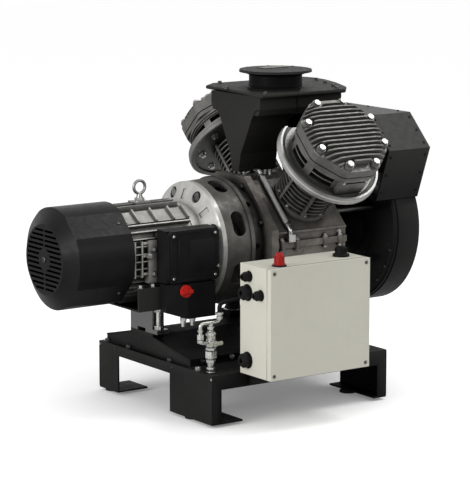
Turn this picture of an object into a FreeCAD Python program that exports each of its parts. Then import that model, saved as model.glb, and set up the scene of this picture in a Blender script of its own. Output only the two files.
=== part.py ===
import FreeCAD, Part
import math
import os

import Sketcher

# Vee-twin reciprocating air compressor on a folded steel base.
# Millimetres. X runs along the crank axis, from the motor cowl to the cooling
# fan, Z is up, and the control box stands on the -Y side. Pieces of the motor
# and crank train are modelled about the crank axis, and those of a cylinder
# bank with local Z along the bank, and then placed.

doc = FreeCAD.newDocument("compressor")
sheet = doc.addObject("Spreadsheet::Sheet", "Sizes")

SIZES = [
    # placing of the whole unit
    ("unit_x", 30.5), ("unit_y", -34.3),
    ("axis_y", 85.0), ("axis_z", 437.0), ("fit_gap", 0.3), ("run_fit", 0.05),
    # base frame
    ("base_len", 594.0), ("base_wid", 570.0), ("base_top", 144.0), ("sheet_t", 5.0),
    ("flange_wid", 60.0), ("near_flange", 150.0), ("rail_drop", 41.0), ("beam_drop", 29.0),
    ("leg_near", 206.0), ("leg_far", 98.0), ("leg_return", 31.0),
    ("foot_left", 100.0), ("foot_right", 43.0),
    ("floor_hole_r", 6.0), ("floor_hole_in_x", 22.0), ("floor_hole_in_y", 60.0),
    ("pad_r", 24.0), ("pad_rise", 8.0), ("pad_in_x", 31.0), ("pad_near_in", 135.0), ("pad_far_in", 27.0),
    # engine bed
    ("bed_len", 560.0), ("bed_near", 240.0), ("bed_far", 185.0), ("bed_lip", 20.0),
    ("bed_top", 198.0), ("bed_flat", 80.0), ("pedestal_top", 212.0), ("pedestal_side", 62.0),
    # rubber mounts below the crankcase
    ("mount_r", 25.0), ("mount_y", 78.0), ("mount_x_in", 84.0), ("mount_x_out", 252.0),
    ("stud_r", 5.0),
    # motor
    ("cowl_rear", -593.0), ("cowl_taper", 27.0), ("cowl_front", -403.0), ("cowl_r", 141.0),
    ("cowl_flat", 136.0), ("cowl_wall", 2.5), ("grille_r", 93.0), ("grille_hub_r", 30.0),
    ("body_r", 116.0), ("bore_r", 104.0), ("fin_r", 132.0), ("fin_wide", 3.0),
    ("body_front", -175.0), ("shield_t", 12.0), ("mflange_x", -110.0), ("mflange_r", 175.0),
    ("mflange_t", 14.0), ("mflange_pcd_r", 150.0), ("mbolt_r", 8.0), ("bolt_pocket_r", 16.0),
    ("stator_rear", -360.0), ("stator_len", 150.0), ("stator_in_r", 64.0), ("air_gap", 0.6),
    ("shaft_r", 19.0), ("shaft_front", -64.0),
    ("mbearing_r", 40.0), ("mbearing_t", 23.0), ("mfan_r", 112.0), ("mfan_len", 44.0),
    ("eye_x", -286.0), ("eye_ring_r", 18.0), ("eye_wire_r", 4.3), ("eye_up", 173.0),
    # terminal box, cradle and switch box on the motor
    ("tbox_x", -316.0), ("tbox_len", 164.0), ("tbox_low", 368.0), ("tbox_high", 512.0),
    ("tbox_out", 193.0), ("tbox_wall", 4.0), ("tlid_t", 12.0),
    ("cradle_x", -387.0), ("cradle_len", 222.0), ("cradle_half", 150.0), ("cradle_low", 292.0),
    ("cradle_high", 356.0), ("cradle_t", 5.0), ("block_over", 2.0), ("block_t", 38.0),
    ("block_half", 56.0), ("sbox_x", -317.0), ("sbox_len", 153.0), ("sbox_low", 266.0),
    ("sbox_high", 364.0), ("sbox_step", 21.0), ("knob_x", -264.0), ("knob_r", 17.0),
    ("knob_out", 16.0),
    # bell housing and coupling
    ("bell_mid", -21.0), ("bell_r", 183.0), ("bell_wall", 11.0), ("bell_neck_r", 160.0),
    ("hub_r", 48.0), ("hub_len", 42.0), ("spider_t", 16.0), ("spider_r", 46.0), ("jaw_in_r", 31.0),
    # crankcase
    ("case_x", 42.0), ("case_len", 252.0), ("case_half", 181.0), ("deck", 155.0),
    ("case_crown", 168.0), ("case_wall", 14.0), ("case_down", 150.0), ("case_chamfer", 60.0),
    ("rim_t", 23.0), ("rim_grow", 24.0), ("lip_out", 7.0), ("lip_t", 9.0), ("case_feet", 262.0),
    ("bearing_r", 45.0), ("journal_r", 22.5), ("bearing_t", 18.0),
    # crank train
    ("throw", 24.0), ("crankpin_r", 20.0), ("web_t", 18.0), ("rod_wide", 22.0), ("rod_len", 228.0),
    ("big_end_r", 32.0), ("small_end_r", 16.0),
    ("bank_mid", 198.0), ("bank_offset", 26.0), ("bank_angle", 45.0),
    ("piston_len", 62.0), ("piston_wall", 6.0), ("piston_gap", 0.3), ("top_gap", 2.0),
    ("rest_lift", 7.0),
    # cylinders and heads, measured along each bank from the crank axis
    ("cyl_bore_r", 55.0), ("cyl_out_r", 63.0), ("cyl_fin_r", 81.0), ("cyl_fin_t", 3.4), ("land_t", 9.0),
    ("cyl_top", 332.0), ("cyl_foot_t", 18.0), ("ring_r", 153.0), ("ring_t", 13.0),
    ("ring_chop", 118.0), ("head_r", 116.0), ("head_top", 402.0), ("plate_t", 8.0),
    ("cover_r", 132.0), ("cover_flat", 125.0), ("cover_base", 42.0), ("cover_top", 468.0),
    ("rim_low", 11.0), ("rim_groove", 4.0),
    ("cover_fin_t", 4.2), ("cover_pitch", 14.5), ("window_half", 33.0), ("bolt_circle", 117.0),
    ("bolt_seat", 456.0),
    ("boss_r", 12.5), ("head_bolt_r", 8.5), ("head_bolt_t", 7.5),
    # intake hopper
    ("hop_x", 38.0), ("hop_len", 285.0), ("hop_low_len", 128.0), ("hop_top", 848.0),
    ("hop_under", 795.0), ("hop_foot", 627.0), ("hop_wall", 3.0), ("hop_half", 120.0),
    ("lid_t", 9.0), ("lid_near", 134.0), ("lid_far", 211.0), ("neck_x", 178.0), ("neck_r", 76.0),
    ("neck_wall", 4.0), ("neck_top", 911.0), ("neck_flange_r", 104.0), ("neck_flange_t", 7.0),
    ("stand_plate_t", 6.0), ("post_r", 5.0), ("breather_x", 93.0), ("breather_r", 6.0),
    # cooling fan and shroud
    ("drum_x", 436.0), ("drum_back", 527.0), ("drum_r", 233.0), ("drum_rise", 9.0), ("shroud_t", 4.0),
    ("hood_x", 376.0), ("hood_waist", 218.0), ("hood_low", 103.0), ("hood_half", 273.0),
    ("hood_side", 252.0), ("hood_shoulder", 180.0), ("hood_top", 345.0), ("inlet_r", 130.0),
    ("inlet_x", 398.0), ("front_hole_r", 60.0), ("nose_r", 30.0), ("guard_wire", 2.5),
    ("stay_r", 8.0), ("stay_y", 125.0), ("stay_low", 80.0), ("stay_high", 70.0),
    ("fan_r", 188.0), ("fan_hub_r", 34.0), ("fan_blade_t", 4.0), ("fan_x", 452.0), ("fan_len", 52.0),
    ("crank_end", 510.0),
    # control box
    ("cbox_x", -205.0), ("cbox_len", 330.0), ("cbox_deep", 140.0), ("cbox_high", 300.0),
    ("cbox_wall", 3.0), ("clid_deep", 18.0),
    ("lamp_r", 16.0), ("lamp_up", 36.0), ("cap_r", 17.0), ("cap_up", 24.0),
    # drain valve on the frame corner
    ("valve_in_x", 27.0), ("valve_in_y", 45.0), ("pipe_r", 5.0), ("pipe_top", 330.0), ("valve_ball", 82.0),
]


class Dim:
    """A length that keeps both its value and the sheet expression behind it."""

    def __init__(self, text, value):
        self.text = text
        self.value = value

    @staticmethod
    def of(item):
        return item if isinstance(item, Dim) else Dim("%.6g" % item, float(item))

    def join(self, other, sign, flip=False):
        left, right = (Dim.of(other), self) if flip else (self, Dim.of(other))
        text = "(%s %s %s)" % (left.text, sign, right.text)
        table = {"+": left.value + right.value, "-": left.value - right.value, "*": left.value * right.value}
        value = table[sign] if sign in table else left.value / right.value
        return Dim(text, value)

    def __add__(self, other):
        return self.join(other, "+")

    def __radd__(self, other):
        return self.join(other, "+", True)

    def __sub__(self, other):
        return self.join(other, "-")

    def __rsub__(self, other):
        return self.join(other, "-", True)

    def __mul__(self, other):
        return self.join(other, "*")

    def __rmul__(self, other):
        return self.join(other, "*", True)

    def __truediv__(self, other):
        return self.join(other, "/")

    def __neg__(self):
        return Dim("(0 - %s)" % self.text, -self.value)


class Names:
    pass


S = Names()
for row, (alias, value) in enumerate(SIZES, start=1):
    sheet.set("A%d" % row, alias)
    sheet.set("B%d" % row, "%g" % value)
    sheet.setAlias("B%d" % row, alias)
    setattr(S, alias, Dim("Sizes.%s" % alias, value))
doc.recompute()

ALONG_X = FreeCAD.Vector(1, 0, 0)
ALONG_Z = FreeCAD.Vector(0, 0, 1)
TURN = {
    "z": FreeCAD.Rotation(),
    "x": FreeCAD.Rotation(FreeCAD.Vector(0, 1, 0), 90),
    "y": FreeCAD.Rotation(ALONG_X, -90),
}
PLANE = {
    "xy": (FreeCAD.Rotation(), ALONG_Z),
    "xz": (FreeCAD.Rotation(ALONG_X, 90), FreeCAD.Vector(0, 1, 0)),
    "yz": (FreeCAD.Rotation(FreeCAD.Vector(1, 1, 1), 120), ALONG_X),
}
NORMAL_SLOT = {"xy": 2, "xz": 1, "yz": 0}
nodes = []


def num(item):
    return item.value if isinstance(item, Dim) else float(item)


def bind(obj, prop, item):
    if isinstance(item, Dim):
        obj.setExpression(prop, item.text)
    else:
        setattr(obj, prop, item)


def place(obj, at, rotation=None):
    obj.Placement = FreeCAD.Placement(
        FreeCAD.Vector(*[num(c) for c in at]), rotation or FreeCAD.Rotation())
    for axis, item in zip("xyz", at):
        if isinstance(item, Dim):
            obj.setExpression("Placement.Base.%s" % axis, item.text)
    return obj


def box(x0, x1, y0, y1, z0, z1):
    obj = doc.addObject("Part::Box", "Block")
    for prop, low, high in (("Length", x0, x1), ("Width", y0, y1), ("Height", z0, z1)):
        bind(obj, prop, Dim.of(high) - low)
    return place(obj, (x0, y0, z0))


def rod(axis, at, radius, length):
    obj = doc.addObject("Part::Cylinder", "Rod")
    bind(obj, "Radius", Dim.of(radius))
    bind(obj, "Height", Dim.of(length))
    return place(obj, at, TURN[axis])


def cone(axis, at, r_start, r_end, length):
    obj = doc.addObject("Part::Cone", "Cone")
    bind(obj, "Radius1", Dim.of(r_start))
    bind(obj, "Radius2", Dim.of(r_end))
    bind(obj, "Height", Dim.of(length))
    return place(obj, at, TURN[axis])


def hexagon(axis, at, across, length):
    obj = doc.addObject("Part::Prism", "Hex")
    obj.Polygon = 6
    bind(obj, "Circumradius", Dim.of(across) / math.sqrt(3))
    bind(obj, "Height", Dim.of(length))
    return place(obj, at, TURN[axis])


def torus(at, ring, wire, rotation=None):
    obj = doc.addObject("Part::Torus", "Ring")
    bind(obj, "Radius1", Dim.of(ring))
    bind(obj, "Radius2", Dim.of(wire))
    return place(obj, at, rotation)


def outline(plane, points, start):
    """Closed straight-sided profile whose corners are driven by sizes."""
    sketch = doc.addObject("Sketcher::SketchObject", "Outline")
    count = len(points)
    corners = [FreeCAD.Vector(num(a), num(b), 0) for a, b in points]
    for i in range(count):
        sketch.addGeometry(Part.LineSegment(corners[i], corners[(i + 1) % count]), False)
    sketch.addConstraint(
        [Sketcher.Constraint("Coincident", i, 2, (i + 1) % count, 1) for i in range(count)])
    for i, pair in enumerate(points):
        for kind, item in zip(("DistanceX", "DistanceY"), pair):
            index = sketch.addConstraint(Sketcher.Constraint(kind, -1, 1, i, 1, num(item)))
            if isinstance(item, Dim):
                sketch.setExpression("Constraints[%d]" % index, item.text)
    at = [0, 0, 0]
    at[NORMAL_SLOT[plane]] = start
    return place(sketch, at, PLANE[plane][0])


def prism(plane, points, start, end):
    obj = doc.addObject("Part::Extrusion", "Prism")
    obj.Base = outline(plane, points, start)
    obj.DirMode = "Custom"
    obj.Dir = PLANE[plane][1]
    obj.Solid = True
    bind(obj, "LengthFwd", Dim.of(end) - start)
    return obj


def turned(axis, points):
    """Solid of revolution: (along, radius) pairs about X, or (radius, up) pairs about Z."""
    obj = doc.addObject("Part::Revolution", "Turned")
    obj.Source = outline("xz", points, 0)
    obj.Axis = ALONG_X if axis == "x" else ALONG_Z
    obj.Base = FreeCAD.Vector(0, 0, 0)
    obj.Angle = 360
    obj.Solid = True
    return obj


def fuse(*parts):
    parts = [p for group in parts for p in (group if isinstance(group, list) else [group])]
    if len(parts) == 1:
        return parts[0]
    obj = doc.addObject("Part::MultiFuse", "Joined")
    obj.Shapes = parts
    return obj


def cut(base, *tools):
    tool = fuse(*tools)
    obj = doc.addObject("Part::Cut", "Cut")
    obj.Base = base
    obj.Tool = tool
    return obj


def common(first, second):
    obj = doc.addObject("Part::Common", "Common")
    obj.Base = first
    obj.Tool = second
    return obj


def group(*parts):
    parts = [p for item in parts for p in (item if isinstance(item, list) else [item])]
    obj = doc.addObject("Part::Compound", "Group")
    obj.Links = parts
    return obj


def inset(points, wall):
    """The same closed profile with every side moved inwards by a wall."""
    flat = [(num(a), num(b)) for a, b in points]
    count = len(flat)
    area = sum(flat[i][0] * flat[(i + 1) % count][1] - flat[(i + 1) % count][0] * flat[i][1]
               for i in range(count))
    turn = 1 if area > 0 else -1
    normals = []
    for i in range(count):
        du = flat[(i + 1) % count][0] - flat[i][0]
        dv = flat[(i + 1) % count][1] - flat[i][1]
        size = math.hypot(du, dv)
        normals.append((-turn * dv / size, turn * du / size))
    result = []
    for i, (a, b) in enumerate(points):
        (u0, v0), (u1, v1) = normals[i - 1], normals[i]
        share = 1 + u0 * u1 + v0 * v1
        result.append((a + wall * ((u0 + u1) / share), b + wall * ((v0 + v1) / share)))
    return result


def pipe(points, radius, bend):
    """Round pipe along straight runs joined by bends of one radius."""
    way = [FreeCAD.Vector(*[num(c) for c in point]) for point in points]
    edges = []
    start = way[0]
    for i in range(1, len(way) - 1):
        back = (way[i - 1] - way[i]).normalize()
        ahead = (way[i + 1] - way[i]).normalize()
        half = math.acos(max(-1.0, min(1.0, back.dot(ahead)))) / 2
        reach = num(bend) / math.tan(half)
        enter = way[i] + back * reach
        leave = way[i] + ahead * reach
        middle = way[i] + (back + ahead).normalize() * (num(bend) / math.sin(half) - num(bend))
        edges.append(Part.makeLine(start, enter))
        edges.append(Part.Arc(enter, middle, leave).toShape())
        start = leave
    edges.append(Part.makeLine(start, way[-1]))
    spine = Part.Wire(edges)
    ring = Part.Wire([Part.makeCircle(num(radius), way[0], way[1] - way[0])])
    obj = doc.addObject("Part::Feature", "Pipe")
    solid = spine.makePipeShell([ring], True, False)
    if solid.Volume < 0:
        solid.reverse()
    obj.Shape = solid
    return obj


def ring_points(count, radius, start=0.0):
    """Points on a circle, as pairs driven by its radius."""
    pairs = []
    for i in range(count):
        angle = math.radians(start + 360.0 * i / count)
        pairs.append((radius * math.cos(angle), radius * math.sin(angle)))
    return pairs


def turned_copy(obj, axis, angle):
    """The same piece swung about an axis through the origin."""
    shell = doc.addObject("Part::Compound", "Swung")
    shell.Links = [obj]
    shell.Placement = FreeCAD.Placement(FreeCAD.Vector(0, 0, 0), FreeCAD.Rotation(axis, angle))
    return shell


def node(name, obj, at=(0, 0, 0)):
    """A finished piece in the unit's frame."""
    obj.Label = name
    place(obj, (S.unit_x + at[0], S.unit_y + at[1], Dim.of(at[2])))
    nodes.append(obj)
    return obj


def axis_node(name, obj):
    return node(name, obj, (0, S.axis_y, S.axis_z))


RIGHT, LEFT = 1, -1


def bank_x(side):
    return S.bank_mid - side * S.bank_offset / 2


def lean(obj, side, at):
    """Leans a piece that was made along local Z over to its cylinder bank."""
    place(obj, at, FreeCAD.Rotation(FreeCAD.Vector(side, 0, 0), S.bank_angle.value))
    obj.setExpression("Placement.Rotation.Angle", "Sizes.bank_angle * 1 deg")
    return obj


def bank_node(name, obj, side):
    obj.Label = name
    lean(obj, side, (S.unit_x + bank_x(side), S.unit_y + S.axis_y, S.axis_z))
    nodes.append(obj)
    return obj


# Base frame: folded top flanges, aprons and leg panels with foot plates
half_len = S.base_len / 2
half_wid = S.base_wid / 2
t = S.sheet_t


def end_panel(side, foot):
    """Beam, both legs and their feet at one end; side is -1 at the motor end."""
    outer = side * half_len
    inner = outer - side * t

    def span(a, b):
        return (a, b) if num(a) < num(b) else (b, a)

    x0, x1 = span(outer, inner)
    fx0, fx1 = span(outer, outer - side * foot)
    rx0, rx1 = span(outer, outer - side * S.leg_return)
    tx0, tx1 = span(outer, outer - side * S.flange_wid)
    low = S.pad_rise
    return [
        box(x0, x1, -half_wid, half_wid, S.base_top - S.beam_drop, S.base_top),
        box(tx0, tx1, -half_wid, half_wid, S.base_top - t, S.base_top),
        box(x0, x1, -half_wid, S.leg_near - half_wid, low, S.base_top),
        box(x0, x1, half_wid - S.leg_far, half_wid, low, S.base_top),
        box(rx0, rx1, -half_wid, t - half_wid, low, S.base_top),
        box(rx0, rx1, half_wid - t, half_wid, low, S.base_top),
        box(fx0, fx1, -half_wid, S.leg_near - half_wid, low, low + t),
        box(fx0, fx1, half_wid - S.leg_far, half_wid, low, low + t),
    ]


frame = fuse(
    end_panel(-1, S.foot_left), end_panel(1, S.foot_right),
    box(-half_len, half_len, -half_wid, t - half_wid, S.base_top - S.rail_drop, S.base_top),
    box(-half_len, half_len, half_wid - t, half_wid, S.base_top - S.rail_drop, S.base_top),
    box(-half_len, half_len, -half_wid, S.near_flange - half_wid, S.base_top - t, S.base_top),
    box(-half_len, half_len, half_wid - S.flange_wid, half_wid, S.base_top - t, S.base_top))
hole_x = half_len - S.floor_hole_in_x
hole_y = half_wid - S.floor_hole_in_y
floor_holes = [rod("z", (sx * hole_x, sy * hole_y, S.pad_rise - 1), S.floor_hole_r, t + 2)
               for sx in (-1, 1) for sy in (-1, 1)]
node("base_frame", cut(frame, floor_holes))

pads = []
for sx in (-1, 1):
    for y in (S.pad_near_in - half_wid, half_wid - S.pad_far_in):
        pad = turned("z", [
            (0, 0), (S.pad_r, 0), (S.pad_r, S.pad_rise * 0.6), (S.pad_r - 3, S.pad_rise), (0, S.pad_rise)])
        pads.append(place(pad, (sx * (half_len - S.pad_in_x), y, 0)))
node("floor_pads", group(pads))

# Engine bed: roof-shaped tunnel with closed ends and mount pedestals
bed_x = S.bed_len / 2
block_x = -bed_x - S.block_over
bed_l = S.axis_y - S.bed_near
bed_r = S.axis_y + S.bed_far
flat = S.bed_flat / 2
lip = S.base_top + S.bed_lip
roof = [
    (bed_l, S.base_top), (bed_l, lip), (S.axis_y - flat, S.bed_top), (S.axis_y + flat, S.bed_top),
    (bed_r, lip), (bed_r, S.base_top)]
inside = inset(roof, t)
under = [(inside[0][0], S.base_top - 1)] + inside[1:5] + [(inside[5][0], S.base_top - 1)]
tunnel = cut(prism("yz", roof, -bed_x, bed_x), prism("yz", under, t - bed_x, bed_x - t))
side = S.pedestal_side / 2
pedestals = []
for x in (S.mount_x_in, S.mount_x_out):
    for sy in (-1, 1):
        y = S.axis_y + sy * S.mount_y
        pedestals.append(box(x - side, x + side, y - side, y + side, lip + 8, S.pedestal_top))
pedestals.append(box(block_x, block_x + S.block_t, S.axis_y - S.block_half, S.axis_y + S.block_half,
                     S.bed_top - 4, S.bed_top + 7))
node("engine_bed", fuse(tunnel, pedestals))

# Rubber mounts with their studs, between the pedestals and the crankcase feet
mounts = []
for x in (S.mount_x_in, S.mount_x_out):
    for sy in (-1, 1):
        y = S.axis_y + sy * S.mount_y
        body = turned("z", [
            (0, S.pedestal_top), (S.mount_r, S.pedestal_top), (S.mount_r, S.pedestal_top + 5),
            (S.mount_r - 4, S.pedestal_top + 12), (S.mount_r - 4, S.case_feet - 12),
            (S.mount_r, S.case_feet - 5), (S.mount_r, S.case_feet), (0, S.case_feet)])
        mounts.append(place(body, (x, y, 0)))
node("rubber_mounts", group(mounts))

# Steel block with its tie bolt at the near end, under the motor cradle
block_y0 = S.axis_y - S.block_half
block = cut(
    box(block_x, block_x + S.block_t, block_y0 - 24, S.axis_y + S.block_half, S.bed_top + 7, S.cradle_low),
    box(block_x - 1, block_x + S.block_t + 1, block_y0 - 25, block_y0, S.bed_top + 19, S.cradle_low - 12),
    box(block_x - 1, block_x + S.block_t + 1, S.axis_y - 20, S.axis_y + 20, S.bed_top + 6, S.bed_top + 17))
tie_at = (block_x + 12, block_y0 - 12)
tie = [rod("z", (tie_at[0], tie_at[1], S.bed_top + 18), 5.5, S.cradle_low - S.bed_top - 29),
       hexagon("z", (tie_at[0], tie_at[1], S.bed_top + 19), 17, 9),
       hexagon("z", (tie_at[0], tie_at[1], S.cradle_low - 21), 17, 9)]
node("motor_block", fuse(block, tie))

# Motor housing: finned tube with flats for the eye bolt, terminal box and cradle
body_len = S.body_front - S.cowl_front
shell_pts = [(S.cowl_front, S.bore_r), (S.cowl_front, S.body_r), (S.body_front, S.body_r),
             (S.body_front, S.bore_r)]
fins = []
fin_count = 40
for i in range(fin_count):
    angle = 360.0 * (i + 0.5) / fin_count
    if 162 < angle < 198 or 22 < angle < 46 or 314 < angle < 338:
        continue
    fin_end = S.tbox_x - 20 if 70 < angle < 110 else S.body_front - 6
    fin = box(S.cowl_front + 14, fin_end, -S.fin_wide / 2, S.fin_wide / 2, S.body_r - 3, S.fin_r)
    fins.append(turned_copy(fin, ALONG_X, angle))
pads_on_body = [
    box(S.eye_x - 24, S.eye_x + 24, -22, 22, S.body_r - 6, S.fin_r + 3),
    box(S.cradle_x + 14, S.cradle_x + 74, -34, 34, -S.axis_z + S.cradle_low + S.cradle_t, -S.body_r + 6),
    box(S.body_front - 70, S.body_front - 16, -34, 34, -S.axis_z + S.cradle_low + S.cradle_t, -S.body_r + 6),
    box(S.tbox_x + 12, S.body_front - 6, -S.fin_r - 2, -S.body_r + 20,
        S.tbox_low - S.axis_z + 18, S.tbox_high - S.axis_z - 14),
    box(S.tbox_x - 26, S.tbox_x + 8, -S.fin_r, -S.body_r + 16, -72, 45),
]
for angle in (34, -34):
    panel = fuse(
        box(S.cowl_front + 14, S.body_front - 6, -23, 23, S.body_r - 8, S.body_r + 6),
        [box(x, x + 4, -25, 25, S.body_r - 8, S.fin_r - 1)
         for x in (S.cowl_front + 14, S.eye_x - 62, S.eye_x - 4, S.eye_x + 54, S.body_front - 10)])
    pads_on_body.append(turned_copy(panel, ALONG_X, angle))
foot_holes = [rod("y", (S.tbox_x - 9, -S.fin_r - 1, z), 5, 12) for z in (-48, 20)]
seat_top = S.cowl_flat - S.cowl_wall - S.fit_gap
cowl_seats = [turned_copy(box(S.cowl_front, S.cowl_front + 12, -9, 9, S.body_r - 4, seat_top), ALONG_X,
                          45 + 90 * i) for i in range(4)]
bore_cut = rod("x", (S.cowl_front - 1, 0, 0), S.bore_r, body_len + 2)
housing = cut(fuse(turned("x", shell_pts), fins, pads_on_body, cowl_seats), bore_cut, foot_holes,
              rod("z", (S.eye_x, 0, S.fin_r - 12), S.stud_r, 20))
axis_node("motor_housing", housing)

eye = fuse(
    torus((S.eye_x, 0, S.eye_up), S.eye_ring_r, S.eye_wire_r, FreeCAD.Rotation(ALONG_X, 90)),
    cone("z", (S.eye_x, 0, S.fin_r + 3), 12, 6, S.eye_up - S.eye_ring_r - S.fin_r - 1))
axis_node("eye_bolt", fuse(eye, rod("z", (S.eye_x, 0, S.fin_r - 10), S.stud_r - S.fit_gap, 16)))

# Stator with its winding heads, and the rotor on the motor shaft
stator = turned("x", [
    (S.stator_rear, S.stator_in_r), (S.stator_rear, S.bore_r - S.fit_gap),
    (S.stator_rear + S.stator_len, S.bore_r - S.fit_gap), (S.stator_rear + S.stator_len, S.stator_in_r)])
windings = []
for x, reach in ((S.stator_rear + 1, -25), (S.stator_rear + S.stator_len - 1, 25)):
    windings.append(turned("x", [
        (x, S.stator_in_r + 5), (x, S.bore_r - 9), (x + reach, S.bore_r - 13),
        (x + reach, S.stator_in_r + 9)]))
axis_node("stator", fuse(stator, windings))
rotor_r = S.stator_in_r - S.air_gap
rear_bearing = S.cowl_front + 4
rotor = turned("x", [
    (S.cowl_rear + 60, 0), (S.cowl_rear + 60, S.shaft_r - 4), (rear_bearing, S.shaft_r - 4),
    (rear_bearing, S.shaft_r), (S.stator_rear, S.shaft_r), (S.stator_rear, rotor_r),
    (S.stator_rear + S.stator_len, rotor_r), (S.stator_rear + S.stator_len, S.shaft_r),
    (S.shaft_front, S.shaft_r), (S.shaft_front, 0)])
axis_node("motor_rotor", rotor)

# Rear end shield, inside the cowl
seat = S.mbearing_r
rear_shield = turned("x", [
    (S.cowl_front - S.shield_t, S.shaft_r + 2), (S.cowl_front - S.shield_t, S.bore_r + 8),
    (S.cowl_front, S.bore_r + 8), (S.cowl_front, S.bore_r - 1), (S.cowl_front + 8, S.bore_r - 1),
    (S.cowl_front + 8, S.bore_r - 9), (S.cowl_front, S.bore_r - 14), (S.cowl_front, seat + 12),
    (S.cowl_front + 28, seat + 7), (S.cowl_front + 28, seat), (S.cowl_front + 4, seat),
    (S.cowl_front + 4, S.shaft_r + 2)])
axis_node("rear_shield", rear_shield)

# Drive-end shield: webbed flange that carries the motor on the bell housing
front_in = S.body_front
flange_back = S.mflange_x - S.mflange_t
cone_start = S.tbox_x + S.tbox_len + 3
shield_pts = [
    (front_in - 7, S.bore_r - 9), (front_in - 7, S.bore_r - 1), (front_in, S.bore_r - 1),
    (front_in, S.body_r + 2),
    (cone_start, S.body_r + 2), (flange_back - 3, S.mflange_r - 5),
    (flange_back, S.mflange_r), (S.mflange_x, S.mflange_r), (S.mflange_x, S.mflange_r - 28),
    (S.mflange_x - 8, S.mflange_r - 30), (cone_start + 16, S.body_r + 6), (cone_start, S.body_r - 12),
    (S.mflange_x - 22, seat + 14), (S.mflange_x - 22, S.shaft_r + 3),
    (S.mflange_x - 27, S.shaft_r + 3), (S.mflange_x - 27, seat), (S.mflange_x - 51, seat),
    (S.mflange_x - 51, seat + 9), (S.mflange_x - 36, seat + 12), (front_in + 5, S.bore_r - 12),
    (front_in, S.bore_r - 12)]
flange_holes = [rod("x", (flange_back - 6, y, z), S.mbolt_r + 0.5, S.mflange_t + 12)
                for y, z in ring_points(8, S.mflange_pcd_r, 22.5)]
bolt_pockets = [rod("x", (front_in + 6, y, z), S.bolt_pocket_r, flange_back - front_in - 6)
                for y, z in ring_points(8, S.mflange_pcd_r, 22.5)]
vents = [turned_copy(prism("xz", [
    (cone_start + 4, S.body_r + 4), (flange_back - 8, S.mflange_r - 22),
    (flange_back - 8, S.mflange_r + 4), (cone_start + 4, S.mflange_r + 4)], -8, 8),
    ALONG_X, 45 * i) for i in range(8)]
axis_node("drive_end_shield", cut(turned("x", shield_pts), flange_holes, bolt_pockets, vents))


def shaft_ring(x, shaft, outer, wide):
    return turned("x", [(x, shaft), (x, outer), (x + wide, outer), (x + wide, shaft)])


bearings = [shaft_ring(x, S.shaft_r + S.run_fit, seat, S.mbearing_t)
            for x in (S.cowl_front + 4, S.mflange_x - 50)]

# Motor cooling fan: hub, back plate and straight blades
fan_back = S.cowl_front - S.shield_t - 12
fan_hub = rod("x", (fan_back - S.mfan_len, 0, 0), 26, S.mfan_len)
fan_plate = rod("x", (fan_back - 4, 0, 0), S.mfan_r - 6, 4)
blades = []
for i in range(8):
    blade = box(fan_back - S.mfan_len, fan_back - 2, -1.5, 1.5, 22, S.mfan_r)
    blades.append(turned_copy(blade, ALONG_X, 45 * i))
motor_fan = cut(fuse(fan_hub, fan_plate, blades),
                rod("x", (fan_back - S.mfan_len - 1, 0, 0), S.shaft_r - 4, S.mfan_len + 2))
axis_node("motor_fan", motor_fan)

# Fan cowl: round with flattened diagonals, bevelled rear ring and slatted grille
cowl_end = S.cowl_front + 12
bevel = S.cowl_rear + S.cowl_taper
w = S.cowl_wall
cowl_body = turned("x", [
    (S.cowl_rear, 0), (S.cowl_rear, S.grille_r + 4), (bevel, S.cowl_r), (cowl_end, S.cowl_r), (cowl_end, 0)])
cowl_core = turned("x", [
    (S.cowl_rear + w, 0), (S.cowl_rear + w, S.grille_r + 3), (bevel + w / 2, S.cowl_r - w),
    (cowl_end + 1, S.cowl_r - w), (cowl_end + 1, 0)])


def diagonal_square(half, x0, x1):
    square = box(x0, x1, -half, half, -half, half)
    return turned_copy(square, ALONG_X, 45)


cowl_shell = cut(common(cowl_body, diagonal_square(S.cowl_flat, S.cowl_rear - 1, cowl_end + 1)),
                 common(cowl_core, diagonal_square(S.cowl_flat - w, S.cowl_rear - 1, cowl_end + 2)))
slots = []
slot_pitch = S.grille_r * 2 / 14
for i in range(13):
    offset = slot_pitch * (i - 6)
    reach = math.sqrt(1.0 - ((i - 6) / 7.0) ** 2)
    half = (S.grille_r - 3) * reach
    slots.append(box(S.cowl_rear - 1, S.cowl_rear + w + 1, -half, half,
                     offset - slot_pitch * 0.24, offset + slot_pitch * 0.24))
hub_disc = rod("x", (S.cowl_rear, 0, 0), S.grille_hub_r, w)
hub_hole = rod("x", (S.cowl_rear - 1, 0, 0), 5, w + 2)
grille = cut(fuse(cut(cowl_shell, slots), hub_disc,
                  box(S.cowl_rear, S.cowl_rear + w, -3, 3, -S.grille_r, S.grille_r)), hub_hole)
axis_node("fan_cowl", grille)

# Terminal box on the side of the motor, with a deep lid and corner screws
tb0, tb1 = S.tbox_x, S.tbox_x + S.tbox_len
tb_in = -S.fin_r - 2
tb_out = -S.tbox_out
tz0, tz1 = S.tbox_low - S.axis_z, S.tbox_high - S.axis_z
tw = S.tbox_wall
terminal_box = cut(box(tb0, tb1, tb_out + S.tlid_t, tb_in, tz0, tz1),
                   box(tb0 + tw, tb1 - tw, tb_out + S.tlid_t - 1, tb_in - tw, tz0 + tw, tz1 - tw))
axis_node("terminal_box", terminal_box)
edge = 9
lid_points = [(tb0 + edge, tz0), (tb1 - edge, tz0), (tb1, tz0 + edge), (tb1, tz1 - edge), (tb1 - edge, tz1),
              (tb0 + edge, tz1), (tb0, tz1 - edge), (tb0, tz0 + edge)]
lid = prism("xz", lid_points, tb_out, tb_out + S.tlid_t)
screw_spots = [(tb0 + 14, tz0 + 14), (tb1 - 14, tz0 + 14), (tb0 + 14, tz1 - 14), (tb1 - 14, tz1 - 14)]
lid_pockets = [rod("y", (x, tb_out - 1, z), 7, 4) for x, z in screw_spots]
axis_node("terminal_lid", cut(lid, lid_pockets))

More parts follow.
